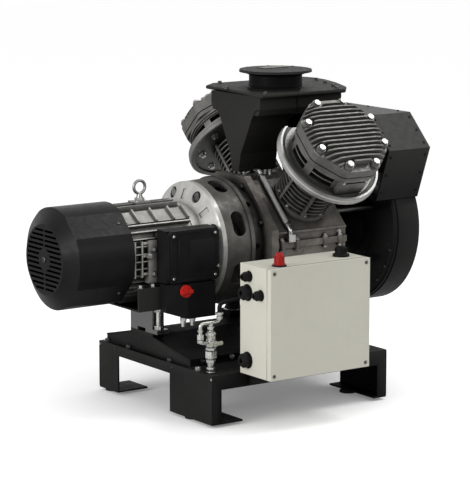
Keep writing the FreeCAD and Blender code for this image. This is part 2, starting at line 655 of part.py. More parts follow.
# Cradle below the motor: a channel with turned-in top edges
cr0, cr1 = S.cradle_x, S.cradle_x + S.cradle_len
ct = S.cradle_t
cradle = fuse(
    box(cr0, cr1, S.axis_y - S.cradle_half, S.axis_y + S.cradle_half, S.cradle_low, S.cradle_low + ct),
    box(cr0, cr1, S.axis_y - S.cradle_half, S.axis_y - S.cradle_half + ct, S.cradle_low, S.cradle_high),
    box(cr0, cr1, S.axis_y + S.cradle_half - ct, S.axis_y + S.cradle_half, S.cradle_low, S.cradle_high),
    box(cr0, cr1, S.axis_y - S.cradle_half, S.axis_y - S.cradle_half + 24, S.cradle_high - ct, S.cradle_high),
    box(cr0, cr1, S.axis_y + S.cradle_half - 24, S.axis_y + S.cradle_half, S.cradle_high - ct, S.cradle_high))
node("motor_cradle", cradle)

# Switch box below the terminal box, with its rotary knob
sb0, sb1 = S.sbox_x, S.sbox_x + S.sbox_len
sb_out = S.axis_y - S.tbox_out
sb_back = S.axis_y - S.cradle_half
switch_outline = [(sb0, S.sbox_low + S.sbox_step), (sb0 + 62, S.sbox_low), (sb1, S.sbox_low),
                  (sb1, S.sbox_high), (sb0, S.sbox_high)]
switch_plan = [(sb0, sb_out + 14), (sb0 + 62, sb_out), (sb1, sb_out), (sb1, sb_back), (sb0, sb_back)]
switch_body = common(prism("xz", switch_outline, sb_out - 1, sb_back),
                     prism("xy", switch_plan, S.sbox_low - 1, S.sbox_high + 1))
spindle_z = S.sbox_high - S.knob_r - 2
node("switch_box", cut(switch_body, rod("y", (S.knob_x, sb_out - 1, spindle_z), 4 + S.run_fit, 15)))
knob = fuse(
    rod("y", (S.knob_x, sb_out - S.knob_out * 0.5, spindle_z), S.knob_r, S.knob_out * 0.5 - S.fit_gap),
    box(S.knob_x - S.knob_r, S.knob_x + S.knob_r, sb_out - S.knob_out, sb_out - S.knob_out * 0.5,
        spindle_z - 4.5, spindle_z + 4.5),
    rod("y", (S.knob_x, sb_out - 2, spindle_z), 4, 14))
node("switch_knob", knob)

# Bell housing between motor flange and crankcase, with side windows
bx0 = S.mflange_x
rim0 = S.case_x - S.rim_t
bw = S.bell_wall
bell = turned("x", [
    (bx0, S.mflange_r - 26), (bx0, S.mflange_r), (bx0 + 16, S.mflange_r), (S.bell_mid - 12, S.bell_r - 4),
    (S.bell_mid - 12, S.bell_r), (S.bell_mid, S.bell_r), (S.bell_mid + 6, S.bell_neck_r),
    (rim0, S.bell_neck_r), (rim0, S.bell_neck_r - bw), (S.bell_mid, S.bell_neck_r - bw),
    (S.bell_mid - 14, S.bell_r - bw), (bx0 + 18, S.mflange_r - bw), (bx0 + 14, S.mflange_r - 26)])
windows = []
for i, angle in enumerate((66, 114, 246, 294, 340, 20, 160, 200)):
    hole = fuse(rod("z", (bx0 + 46, -16, 120), 20, 80), rod("z", (bx0 + 46, 16, 120), 20, 80),
                box(bx0 + 26, bx0 + 66, -16, 16, 120, 200))
    windows.append(turned_copy(hole, ALONG_X, angle))
small_holes = []
for angle in (90, 135, 45, 270, 225, 315):
    small_holes.append(turned_copy(rod("z", (S.bell_mid + 22, 0, 120), 9, 80), ALONG_X, angle))
bell_holes = [rod("x", (bx0 - 1, y, z), S.mbolt_r + 0.5, 20)
              for y, z in ring_points(8, S.mflange_pcd_r, 22.5)]
axis_node("bell_housing", cut(bell, windows, small_holes, bell_holes))
flange_bolts = []
for y, z in ring_points(8, S.mflange_pcd_r, 22.5):
    flange_bolts.append(fuse(hexagon("x", (flange_back - 10, y, z), 22, 10),
                             rod("x", (flange_back - 2, y, z), S.mbolt_r, S.mflange_t + 17)))
axis_node("flange_bolts", group(flange_bolts))

# Shaft coupling: two jaw hubs with an elastic spider
hub_a = S.shaft_front - S.hub_len
hub_mid = S.shaft_front + 4
jaw = 9


def jaw_hub(x0, x1, bore, jaw_x0, jaw_x1, start):
    body = cut(fuse(rod("x", (x0, 0, 0), S.hub_r, Dim.of(x1) - x0),
                    [turned_copy(box(jaw_x0, jaw_x1, -jaw, jaw, S.jaw_in_r, S.hub_r - 3), ALONG_X,
                                 start + 120 * i)
                     for i in range(3)]),
               rod("x", (Dim.of(x0) - 1, 0, 0), bore, Dim.of(x1) - x0 + 2))
    return body


gap0 = hub_mid
gap1 = hub_mid + S.spider_t
axis_node("motor_hub", jaw_hub(hub_a, gap0, S.shaft_r, gap0 - 1, gap1 - 1, 0))
hub_b1 = gap1 + S.hub_len
axis_node("crank_hub", jaw_hub(gap1, hub_b1, S.journal_r, gap0 + 1, gap1 + 1, 60))
spider = cut(rod("x", (gap0 + S.fit_gap, 0, 0), S.spider_r, S.spider_t - 2 * S.fit_gap),
             [turned_copy(box(gap0 - 1, gap1 + 1, -jaw - S.fit_gap, jaw + S.fit_gap,
                              S.jaw_in_r - S.fit_gap, S.hub_r), ALONG_X, 60 * i) for i in range(6)],
             rod("x", (gap0 - 1, 0, 0), S.journal_r + 1, S.spider_t + 2))
axis_node("coupling_spider", spider)

# Crankcase: split on the crank axis, with two decks square to the banks
cx0, cx1 = S.case_x, S.case_x + S.case_len
root2 = math.sqrt(2)


def case_profile(half, deck, crown, down, chamfer, top):
    lean = deck * root2
    if top:
        return [(-half, 0), (half, 0), (half, lean - half), (lean - crown, crown), (crown - lean, crown),
                (-half, lean - half)]
    return [(-half, 0), (-half, chamfer - down), (chamfer - half, -down), (half - chamfer, -down),
            (half, chamfer - down), (half, 0)]


cw = S.case_wall
sizes_out = (S.case_half, S.deck, S.case_crown, S.case_down, S.case_chamfer)
sizes_in = (S.case_half - cw, S.deck - cw, S.case_crown - cw, S.case_down - cw, S.case_chamfer)
sizes_rim = (S.case_half + S.rim_grow, S.deck + S.rim_grow, S.case_crown + S.rim_grow * 0.7,
             S.case_down + S.rim_grow * 0.7, S.case_chamfer)


def shaft_passage():
    return rod("x", (rim0 - 1, 0, 0), S.bearing_r, cx1 - rim0 + 2)


def case_half_solid(top):
    lip_low, lip_high = (0, S.lip_t) if top else (-S.lip_t, 0)
    outer = fuse(
        prism("yz", case_profile(*sizes_out, top), cx0, cx1),
        prism("yz", case_profile(*sizes_rim, top), rim0, cx0),
        box(cx0, cx1, -S.case_half - S.lip_out, -S.case_half + 1, lip_low, lip_high),
        box(cx0, cx1, S.case_half - 1, S.case_half + S.lip_out, lip_low, lip_high))
    inner = prism("yz", case_profile(*sizes_in, top), cx0 + cw, cx1 - cw)
    return outer, inner


upper_outer, upper_inner = case_half_solid(True)
deck_bores = [lean(group(rod("z", (0, 0, 60), S.cyl_out_r, S.deck - 30)), side, (bank_x(side), 0, 0))
              for side in (RIGHT, LEFT)]
axis_node("crankcase_upper", cut(upper_outer, upper_inner, shaft_passage(), deck_bores))

lower_outer, lower_inner = case_half_solid(False)
feet = []
feet_half = S.mount_y + S.mount_r + 3
for x in (S.mount_x_in, S.mount_x_out):
    feet.append(box(x - S.mount_r - 2, x + S.mount_r + 2, -feet_half, feet_half,
                    S.case_feet - S.axis_z, -S.case_down + 8))
axis_node("crankcase_lower", cut(fuse(lower_outer, feet), lower_inner, shaft_passage()))

bearings += [shaft_ring(x, S.journal_r + S.run_fit, S.bearing_r, S.bearing_t)
             for x in (rim0 + 6, cx1 - S.bearing_t - 1)]
bearings.append(shaft_ring(rim0 + 1, S.journal_r + S.fit_gap, S.bearing_r, 4))
axis_node("shaft_bearings", group(bearings))

# Crankshaft: one throw for both rods, webs with counterweights, and the fan nose
pin_half = S.rod_wide + S.bank_offset / 2 + 3
pin_x0 = S.bank_mid - pin_half
pin_x1 = S.bank_mid + pin_half
web_out = S.bearing_r + 14
crank_parts = [
    rod("x", (gap1 + 2, 0, 0), S.journal_r, pin_x0 - gap1 - 2),
    rod("x", (pin_x1, 0, 0), S.journal_r, S.fan_x - 4 - pin_x1),
    rod("x", (S.fan_x - 6, 0, 0), S.journal_r - 5, S.crank_end - S.fan_x + 6),
    rod("x", (pin_x0 - 1, 0, -S.throw), S.crankpin_r, pin_half * 2 + 2)]
for x0, x1 in ((pin_x0 - S.web_t, pin_x0), (pin_x1, pin_x1 + S.web_t)):
    crank_parts.append(prism("yz", [
        (-30, -S.throw - 24), (30, -S.throw - 24), (34, 10), (62, 22), (52, 56), (24, 78), (-24, 78),
        (-52, 56),
        (-62, 22), (-34, 10)], x0, x1))
axis_node("crankshaft", fuse(crank_parts))

# Connecting rods with the gudgeon pins in their small ends


def connecting_rod(side):
    x_mid = bank_x(side)
    half = S.rod_wide / 2
    shank = box(-half + 4, half - 4, -11, 11, S.big_end_r - 4, S.rod_len - S.small_end_r + 4)
    parts = [rod("x", (-half, 0, 0), S.big_end_r, S.rod_wide), shank,
             rod("x", (-half, 0, S.rod_len), S.small_end_r, S.rod_wide)]
    bores = [rod("x", (-half - 1, 0, 0), S.crankpin_r + S.run_fit, S.rod_wide + 2)]
    return lean(cut(fuse(parts), bores), side, (S.unit_x + x_mid, S.unit_y + S.axis_y, S.axis_z - S.throw))


for side, name in ((RIGHT, "con_rod_right"), (LEFT, "con_rod_left")):
    rod_body = connecting_rod(side)
    rod_body.Label = name
    nodes.append(rod_body)

# Pistons, at rest a little above bottom dead centre, with ring grooves
crown = S.cyl_top - S.top_gap - S.throw * 2 + S.rest_lift
piston_r = S.cyl_bore_r - S.piston_gap
for side, name in ((RIGHT, "piston_right"), (LEFT, "piston_left")):
    inner_r = piston_r - S.piston_wall
    piston = turned("z", [
        (0, crown), (piston_r, crown), (piston_r, crown - 8), (piston_r - 2.5, crown - 8),
        (piston_r - 2.5, crown - 11), (piston_r, crown - 11), (piston_r, crown - 17),
        (piston_r - 2.5, crown - 17),
        (piston_r - 2.5, crown - 20), (piston_r, crown - 20), (piston_r, crown - S.piston_len),
        (inner_r, crown - S.piston_len), (inner_r, crown - 10), (0, crown - 8)])
    bank_node(name, piston, side)

# Cylinders: flanged barrels with fine fins in panels between lands, and a spigot into the case
LANDS = 6
for side, name in ((RIGHT, "cylinder_right"), (LEFT, "cylinder_left")):
    top = S.cyl_top
    foot_top = S.deck + S.cyl_foot_t
    profile = [(S.cyl_bore_r, S.deck - 26), (S.cyl_out_r, S.deck - 26), (S.cyl_out_r, S.deck),
               (S.cyl_fin_r, S.deck), (S.cyl_fin_r, foot_top), (S.cyl_out_r, foot_top)]
    fin_total = 11
    pitch = (top - foot_top) / fin_total
    for i in range(1, fin_total):
        low = foot_top + pitch * i - S.cyl_fin_t / 2
        profile += [(S.cyl_out_r, low), (S.cyl_fin_r - 2, low), (S.cyl_fin_r - 2, low + S.cyl_fin_t),
                    (S.cyl_out_r, low + S.cyl_fin_t)]
    profile += [(S.cyl_out_r, top), (S.cyl_bore_r, top)]
    land = (S.cyl_out_r - 3, S.cyl_fin_r, -S.land_t / 2, S.land_t / 2, foot_top - 2, top - 1)
    lands = [turned_copy(box(*land), ALONG_Z, 360.0 * i / LANDS) for i in range(LANDS)]
    bank_node(name, fuse(turned("z", profile), lands), side)

# Ring plates: broad bright flanges under the heads, cut flat towards the hopper
for side, name in ((RIGHT, "ring_plate_right"), (LEFT, "ring_plate_left")):
    z0, z1 = S.cyl_top, S.cyl_top + S.ring_t
    rim = S.ring_r
    plate = turned("z", [
        (S.cyl_bore_r, z0), (S.cyl_fin_r + 4, z0), (rim - 18, z0 + 1), (rim - 15, z0 - 4), (rim - 3, z0 - 4),
        (rim, z0 - 1), (rim, z0 + 9), (rim - 3, z0 + 12), (rim - 3, z1 + 6), (rim - 9, z1 + 6),
        (rim - 9, z1 + 1),
        (rim - 20, z1 - 3), (S.head_r + 5, z1 - 3), (S.head_r + 5, z1), (S.cyl_bore_r, z1)])
    chop = box(-200, 200, S.ring_chop, 260, z0 - 30, z1 + 30) if side == RIGHT else \
        box(-200, 200, -260, -S.ring_chop, z0 - 30, z1 + 30)
    bank_node(name, cut(plate, chop), side)

# Cylinder heads: round bodies with recessed flanks, a port boss and valve plate rim
for side, name in ((RIGHT, "head_right"), (LEFT, "head_left")):
    z0, z1 = S.cyl_top + S.ring_t, S.head_top
    body = turned("z", [
        (0, z0), (S.head_r, z0), (S.head_r, z1 - S.plate_t - 5), (S.head_r + 5, z1 - S.plate_t - 5),
        (S.head_r + 5, z1 - S.plate_t), (S.cover_flat, z1 - S.plate_t), (S.cover_flat, z1), (0, z1)])
    outward = -side
    boss = box(-44, 44, Dim.of(0) + (S.cover_flat - 34) if outward > 0 else -S.cover_flat,
               S.cover_flat if outward > 0 else -(S.cover_flat - 34), z0, z1)
    pockets = []
    shelf = (z0 + z1 - S.plate_t) / 2
    for i in range(8):
        angle = 45 * i + 90 * outward
        if i == 0:
            continue
        for low, high in ((z0 + 6, shelf - 2.5), (shelf + 2.5, z1 - S.plate_t - 8)):
            pocket = box(S.head_r - 26, S.head_r + 2, -S.window_half, S.window_half, low, high)
            pockets.append(turned_copy(pocket, ALONG_Z, angle))
    slot_y0, slot_y1 = (S.cover_flat - 6, S.cover_flat + 2)
    slot = box(-34, 34, slot_y0, slot_y1, z1 - 14, z1 - 8) if outward > 0 else \
        box(-34, 34, -slot_y1, -slot_y0, z1 - 14, z1 - 8)
    bank_node(name, cut(fuse(cut(body, pockets), boss), slot), side)

# Finned head covers: rounded octagons with parallel fins and bolt bosses
for side, name in ((RIGHT, "head_cover_right"), (LEFT, "head_cover_left")):
    z0 = S.head_top
    base_top = z0 + S.cover_base
    corner = S.cover_flat * math.tan(math.radians(22.5))
    octagon_pts = [
        (S.cover_flat, -corner), (S.cover_flat, corner), (corner, S.cover_flat), (-corner, S.cover_flat),
        (-S.cover_flat, corner), (-S.cover_flat, -corner), (-corner, -S.cover_flat), (corner, -S.cover_flat)]
    rim_body = common(rod("z", (0, 0, z0), S.cover_r, S.cover_top - z0),
                      prism("xy", octagon_pts, z0, S.cover_top))
    rim_core = common(rod("z", (0, 0, z0), S.cover_r - S.rim_groove, S.cover_top - z0),
                      prism("xy", inset(octagon_pts, S.rim_groove), z0, S.cover_top))
    groove = cut(rod("z", (0, 0, z0 + S.rim_low), S.cover_r + 6, S.rim_groove), rim_core)
    dome = turned("z", [
        (0, z0), (S.cover_r + 4, z0), (S.cover_r + 4, base_top - 9), (S.cover_r - 4, base_top + 5),
        (S.cover_r - 22, S.cover_top - 4), (S.cover_r - 44, S.cover_top), (0, S.cover_top)])
    fin_list = []
    for i in range(-7, 8):
        mid = S.cover_pitch * i
        fin_list.append(box(-S.cover_r, S.cover_r, mid - S.cover_fin_t / 2, mid + S.cover_fin_t / 2,
                            base_top - 2, S.cover_top + 2))
    spots = ring_points(8, S.bolt_circle, 22.5)
    clearings = [rod("z", (x, y, base_top), S.boss_r + 5, 80) for x, y in spots]
    bosses = [rod("z", (x, y, z0 + 2), S.boss_r, S.bolt_seat - z0 - 2) for x, y in spots]
    field = box(-S.cover_r, S.cover_r, -S.cover_r, S.cover_r, z0, base_top)
    body = common(fuse(field, cut(fuse(fin_list), clearings)), common(rim_body, dome))
    bank_node(name, cut(fuse(body, bosses), groove), side)
head_bolts = []
for side in (RIGHT, LEFT):
    bolts = [fuse(hexagon("z", (x, y, S.bolt_seat), S.head_bolt_r * 2, S.head_bolt_t),
                  rod("z", (x, y, S.bolt_seat), S.head_bolt_r + 1.5, 1.6))
             for x, y in ring_points(8, S.bolt_circle, 22.5)]
    head_bolts.append(lean(group(bolts), side, (bank_x(side), 0, 0)))
axis_node("head_bolts", group(head_bolts))

# Intake hopper in the vee: narrow below, broad box above, with its lid and neck
hop_top = S.hop_top - S.axis_z
hop_under = S.hop_under - S.axis_z
hop_foot = S.hop_foot - S.axis_z
taper = [(1.0, hop_top), (0.81, hop_top - 39), (0.63, hop_top - 72), (0.485, hop_top - 106),
         (0.385, hop_top - 129), (0.21, hop_top - 169), (0.15, hop_foot + 12)]


def vee(half, shift, top, foot):
    right_side = [(half * share, level if i else top) for i, (share, level) in enumerate(taper)]
    foot_edge = half * taper[-1][0] + shift
    right_side = right_side[:-1] + [(foot_edge, taper[-1][1]), (foot_edge, foot)]
    left_side = [(-y, z) for y, z in reversed(right_side)]
    return right_side + left_side


hx0, hx1 = S.hop_x, S.hop_x + S.hop_len
hw = S.hop_wall
outer_vee = prism("yz", vee(S.hop_half, 0, hop_top, hop_foot), hx0, hx0 + S.hop_low_len)
upper_box = prism("yz", [
    (-S.hop_half * 0.92, hop_under), (S.hop_half * 0.92, hop_under), (S.hop_half, hop_under + 18),
    (S.hop_half, hop_top),
    (-S.hop_half, hop_top), (-S.hop_half, hop_under + 18)], hx0, hx1)
inner_vee = prism("yz", vee(S.hop_half - hw * 2, -0.5, hop_top + 1, hop_foot + hw), hx0 + hw,
                  hx0 + S.hop_low_len - hw)
inner_box = box(hx0 + hw, hx1 - hw, -S.hop_half * 0.92 + hw, S.hop_half * 0.92 - hw,
                hop_under + hw, hop_top + 1)
axis_node("intake_hopper", cut(fuse(outer_vee, upper_box), inner_vee, inner_box))
lid0, lid1 = hop_top, hop_top + S.lid_t
lid_plan = [
    (hx0 - 1, -S.lid_near), (hx1, -S.lid_near), (hx1 + 44, -78), (hx1 + 88, 24), (hx1 + 114, 108),
    (hx1 + 120, 174), (hx1 + 108, S.lid_far), (hx0 + 68, S.lid_far), (hx0 + 24, S.lid_far - 37)]
neck_hole = rod("z", (S.neck_x, 0, lid0 - 1), S.neck_r - S.neck_wall, S.lid_t + 2)
axis_node("hopper_lid", cut(prism("xy", lid_plan, lid0, lid1), neck_hole))
nz0, nz1 = lid1, S.neck_top - S.axis_z
neck = turned("z", [
    (S.neck_r - S.neck_wall, nz0), (S.neck_r + 5, nz0), (S.neck_r + 5, nz0 + 3), (S.neck_r, nz0 + 6),
    (S.neck_r, nz1 - S.neck_flange_t - 8), (S.neck_flange_r - 6, nz1 - S.neck_flange_t),
    (S.neck_flange_r, nz1 - S.neck_flange_t), (S.neck_flange_r, nz1 - 3),
    (S.neck_r - S.neck_wall, nz1 - 3)])
node("intake_neck", neck, (S.neck_x, S.axis_y, S.axis_z))
cover = turned("z", [(0, nz1 - 3), (S.neck_flange_r, nz1 - 3), (S.neck_flange_r - 1, nz1), (0, nz1)])
node("neck_cover", cover, (S.neck_x, S.axis_y, S.axis_z))

# Stand under the hopper: plate on the crankcase crown and four posts
crown_z = S.case_crown
stand_x0, stand_x1 = hx0 + 14, hx0 + S.hop_low_len - 6
stand_top = crown_z + S.stand_plate_t
stand = box(stand_x0, stand_x1, -30, 30, crown_z, stand_top)
posts = [rod("z", (x, y, stand_top - 1), S.post_r, hop_foot - stand_top + 1)
         for x in (stand_x0 + 8, stand_x1 - 8) for y in (-11, 11)]
axis_node("hopper_stand", fuse(stand, posts))

# Breather tube from the hopper side down to a union on the crankcase side
tube_run = (S.deck + S.breather_r + 2) * root2
union_top = tube_run - S.case_half - 8
breather = pipe([
    (S.breather_x, -S.hop_half * 0.15 - S.fit_gap, hop_foot + 4),
    (S.breather_x, hop_foot + 4 - tube_run, hop_foot + 4),
    (S.breather_x, -S.case_half - 8, union_top), (S.breather_x, -S.case_half - 8, union_top - 20)],
    S.breather_r, S.breather_r * 1.6)
union_low = S.lip_t
axis_node("breather_tube", fuse(
    breather,
    box(S.breather_x - 11, S.breather_x + 11, -S.case_half - 19, -S.case_half, union_low, union_top - 12),
    rod("z", (S.breather_x, -S.case_half - 8, union_top - 13), S.breather_r + 1.7, 7)))

# Fan shroud: drum round the fan, and a hood that spreads over both banks
drum0, drum1 = S.drum_x, S.drum_back
st = S.shroud_t
hood_pts = [
    (-S.hood_waist, S.hood_low), (S.hood_waist, S.hood_low), (S.hood_half, S.hood_side),
    (S.hood_shoulder, S.hood_top), (-S.hood_shoulder, S.hood_top), (-S.hood_half, S.hood_side)]
hood_in = inset(hood_pts, st)
drum = turned("x", [
    (drum0, 0), (drum0, S.drum_r - 10), (drum0 + 3, S.drum_r - 3), (drum0 + 12, S.drum_r - 3),
    (drum0 + 12, S.drum_r),
    (drum1 - 4, S.drum_r), (drum1, S.drum_r - 4), (drum1, 0)])
place(drum, (0, 0, S.drum_rise))
hollow = [
    prism("yz", hood_in, S.hood_x - 1, drum1 - st),
    rod("x", (drum0 + st, 0, S.drum_rise), S.drum_r - 3 - st, drum1 - drum0 - 2 * st)]
shaft_hole = rod("x", (drum0 - 1, 0, 0), S.front_hole_r, st + 2)
inlet = rod("x", (drum1 - st - 1, 0, 0), S.inlet_r, st + 2)
axis_node("fan_shroud", cut(fuse(prism("yz", hood_pts, S.hood_x, drum1), drum), hollow, shaft_hole, inlet))
nose = turned("x", [
    (S.inlet_x, S.nose_r), (S.inlet_x, S.nose_r + 3), (drum0 - 3, S.front_hole_r + 22),
    (drum0, S.front_hole_r + 22),
    (drum0, S.front_hole_r), (drum0 - 6, S.front_hole_r)])
axis_node("shroud_nose", nose)

# Stays that carry the shroud on the end wall of the case
axis_node("shroud_stays", group([rod("x", (cx1, y, z), S.stay_r, drum0 - cx1)
                                 for y in (-S.stay_y, S.stay_y) for z in (-S.stay_low, S.stay_high)]))

# Wire guard over the fan inlet
wire = S.guard_wire
guard_x = drum1 + wire
rings = [torus((guard_x, 0, 0), S.inlet_r + 8 - 22 * i, wire, TURN["x"]) for i in range(6)]
spokes = [turned_copy(rod("z", (guard_x, 0, 10), wire * 0.9, S.inlet_r - 2), ALONG_X, 60 * i + 30)
          for i in range(6)]
axis_node("fan_guard", fuse(rings, spokes, rod("x", (guard_x - wire, 0, 0), 22, wire * 2)))

# Cooling fan on the crank nose: boss, back plate and swept blades
fan0, fan1 = S.fan_x, S.fan_x + S.fan_len
nose_r = S.journal_r - 5
fan_blades = []
for i in range(9):
    blade = prism("yz", [
        (-S.fan_blade_t, 30), (S.fan_blade_t * 0.6, 30), (12, 90), (34, S.fan_r - 8), (27, S.fan_r - 5),
        (4, 92)],
        fan0 + 1, fan1)
    fan_blades.append(turned_copy(blade, ALONG_X, 40 * i))
fan_body = fuse(rod("x", (fan0, 0, 0), S.fan_hub_r, S.fan_len), rod("x", (fan0, 0, 0), S.fan_r - 4, 4),
                fan_blades)
axis_node("cooling_fan", cut(fan_body, rod("x", (fan0 - 1, 0, 0), nose_r, S.fan_len + 2)))

# Control box in front of the frame, its lid, screws and brackets
kx0, kx1 = S.cbox_x, S.cbox_x + S.cbox_len
ky1 = -half_wid
ky0 = ky1 - S.cbox_deep
kz0, kz1 = S.base_top, S.base_top + S.cbox_high
kw = S.cbox_wall
rim = ky0 + S.clid_deep
gland_spots = [
    (ky1 - 41, kz1 - 31, 13), (ky1 - 33.5, kz1 - 76, 19.5), (ky1 - 94, kz1 - 75, 13),
    (ky1 - 34, kz0 + 40, 19.5)]
box_holes = [rod("x", (kx0 - 1, y, z), radius * 0.62, kw + 2) for y, z, radius in gland_spots]
lamp_at = (kx0 + 55, ky1 - 101)
cap_at = (kx1 - 49, ky1 - 75)
box_holes += [rod("z", (x, y, kz1 - kw - 1), 8, kw + 2) for x, y in (lamp_at, cap_at)]
node("control_box", cut(box(kx0, kx1, rim, ky1, kz0, kz1),
                        box(kx0 + kw, kx1 - kw, rim - 1, ky1 - kw, kz0 + kw, kz1 - kw), box_holes))
lid_screws = [(x, z) for x in (kx0 + 12, kx1 - 12) for z in (kz0 + 12, kz1 - 12)]
lid_body = cut(box(kx0, kx1, ky0, rim, kz0, kz1),
               box(kx0 + kw, kx1 - kw, ky0 + kw, rim + 1, kz0 + kw, kz1 - kw),
               [rod("y", (x, ky0 - 1, z), 6.5, 3) for x, z in lid_screws])
node("control_box_lid", lid_body)
brackets = []
for x in (kx0 + 30, kx1 - 70):
    brackets.append(prism("yz", [
        (ky0 + 14, kz0), (ky0 + 14, kz0 - 4), (ky1 - 4, kz0 - S.rail_drop + 4),
        (ky1, kz0 - S.rail_drop + 4), (ky1, kz0)],
        x, x + 4))
    brackets.append(box(x, x + 40, ky0 + 14, ky1, kz0 - 4, kz0))
    brackets.append(box(x, x + 40, ky1 - 4, ky1, kz0 - S.rail_drop + 4, kz0))
node("box_brackets", group(fuse(brackets[:3]), fuse(brackets[3:])))

# Cable glands, indicator lamp and round cap on the control box
glands = []
for y, z, radius in gland_spots:
    glands.append(cut(
        fuse(hexagon("x", (kx0 - 7, y, z), radius * 1.8, 7), rod("x", (kx0 - 15, y, z), radius, 9),
             cone("x", (kx0 - 23, y, z), radius * 0.7, radius, 8),
             rod("x", (kx0 - 1, y, z), radius * 0.6, kw + 6)),
        rod("x", (kx0 - 24, y, z), radius * 0.36, 40)))
node("cable_glands", group(glands))
lamp = turned("z", [
    (0, -kw - 6), (7.5, -kw - 6), (7.5, 0), (S.lamp_r, 0), (S.lamp_r, 8), (S.lamp_r - 2, 9),
    (S.lamp_r - 4, S.lamp_up - 7),
    (S.lamp_r - 8, S.lamp_up), (0, S.lamp_up)])
node("indicator_lamp", lamp, (lamp_at[0], lamp_at[1], kz1))
knurl = turned("z", [
    (0, -kw - 6), (7.5, -kw - 6), (7.5, 0), (S.cap_r + 6, 0), (S.cap_r + 6, 6), (S.cap_r, 8),
    (S.cap_r - 2, S.cap_up),
    (0, S.cap_up)])
node("box_cap", knurl, (cap_at[0], cap_at[1], kz1))

# Drain valve on the frame corner: manifold with a side branch and an outlet bend
vx, vy = S.valve_in_x - half_len, S.valve_in_y - half_wid
vz = S.base_top
ball = vz + S.valve_ball
loop_top = ball + 54
outlet = (vx + 28, vy, loop_top + 20)
spindle_y = vy - 13
manifold = fuse(
    cone("z", (vx, vy, vz), 6, 10, 26), rod("z", (vx, vy, vz + 25), 7, 17),
    hexagon("z", (vx, vy, vz + 41), 30, 18),
    rod("z", (vx, vy, vz + 58), 6, ball - vz - 58), rod("z", (vx, vy, ball - 10), 13, 20),
    hexagon("z", (vx, vy, ball + 10), 22, 20), rod("z", (vx, vy, ball + 29), 6, 25),
    hexagon("z", (vx - 34, vy, ball + 12), 17, 14),
    pipe([(vx, vy, ball), (vx - 34, vy, ball), (vx - 34, vy, loop_top), (vx + 28, vy, loop_top), outlet],
         S.pipe_r, 9))
node("drain_valve", cut(manifold, rod("y", (vx, vy - 14, ball), 4 + S.run_fit, 8)))
wing = [
    (-24, -3), (-20, -6), (-7, -5), (7, -5), (20, -6), (24, -3), (24, 3), (20, 6), (7, 5), (-7, 5), (-20, 6),
    (-24, 3)]
handle = fuse(
    rod("y", (vx, vy - 24, ball), 4, 17), rod("y", (vx, vy - 24, ball), 8, 9),
    prism("xz", [(vx + a, ball + b) for a, b in wing], vy - 23, vy - 19))
node("drain_handle", handle)
pipe_end = (S.case_x + 26, S.axis_y - S.case_half, S.pipe_top)
node("drain_pipe", pipe([
    outlet, (vx + 28, vy, S.pipe_top), (pipe_end[0], pipe_end[1] - 50, S.pipe_top), pipe_end],
    S.pipe_r + 1, 14))

doc.recompute()
os.makedirs("parts", exist_ok=True)
faults = ["%s %s" % (obj.Label, obj.State) for obj in doc.Objects
          if "Invalid" in obj.State or "Error" in obj.State]
for obj in nodes:
    shape = obj.Shape
    if shape.isNull() or not shape.isValid():
        faults.append("%s has a bad shape" % obj.Label)
if faults:
    raise RuntimeError("; ".join(faults))
for obj in nodes:
    obj.Shape.exportStep("parts/%s.step" % obj.Label)
print(len(nodes), "nodes")
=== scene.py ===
import bpy
import bmesh
import math
from itertools import product
from mathutils import Matrix, Vector


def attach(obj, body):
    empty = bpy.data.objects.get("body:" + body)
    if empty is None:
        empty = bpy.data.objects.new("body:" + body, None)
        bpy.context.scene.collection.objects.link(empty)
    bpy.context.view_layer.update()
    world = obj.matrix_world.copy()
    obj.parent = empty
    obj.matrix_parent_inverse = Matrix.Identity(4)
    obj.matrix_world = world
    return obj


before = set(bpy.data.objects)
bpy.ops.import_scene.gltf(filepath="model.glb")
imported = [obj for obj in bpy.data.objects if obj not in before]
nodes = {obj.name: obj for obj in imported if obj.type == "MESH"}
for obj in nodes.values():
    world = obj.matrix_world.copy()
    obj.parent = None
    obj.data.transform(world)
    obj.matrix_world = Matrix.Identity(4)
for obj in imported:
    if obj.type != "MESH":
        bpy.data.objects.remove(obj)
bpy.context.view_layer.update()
scene = bpy.context.scene
scene.view_settings.view_transform = "Standard"

# Places are given in millimetres from the middle of the base frame, with X
# along the crank axis and -Y towards the viewer, and shifted to the shared frame.
SHIFT = Vector((30.5, -34.3, 0.0))
AXIS = (85.0, 437.0)    # Y and Z of the crank axis
BANK_X, BANK_STAGGER, BANK_DEGREES = 198.0, 13.0, 45.0    # mean place, half the offset, lean


def at(x, y, z):
    return (Vector((x, y, z)) + SHIFT) / 1000.0


def on_axis(x, y, z):
    """A place given from the crank axis."""
    return at(x, AXIS[0] + y, AXIS[1] + z)


def bank_matrix(side):
    """From a cylinder bank's own frame (local Z along the bank) to the shared frame."""
    turn = Matrix.Rotation(math.radians(BANK_DEGREES * side), 4, "X")
    return Matrix.Translation(at(BANK_X - BANK_STAGGER * side, *AXIS)) @ turn


def box_of(name):
    """Low and high corner of a CAD node, to a tenth of these millimetres."""
    places = [nodes[name].matrix_world @ vertex.co for vertex in nodes[name].data.vertices]
    return [Vector([round(end(p[i] for p in places) * 1000 - SHIFT[i], 1) for i in range(3)])
            for end in (min, max)]


def middle_of(name):
    low, high = box_of(name)
    return (low + high) / 2


def spots(name, axes, inset):
    """Four places inset from the corners of a CAD node's box, in two directions."""
    low, high = box_of(name)
    return list(product(*[(getattr(low, axis) + inset, getattr(high, axis) - inset) for axis in axes]))


def corners(left, right, low, high):
    """The four corners of a rectangle, in order round it."""
    return (left, low), (right, low), (right, high), (left, high)


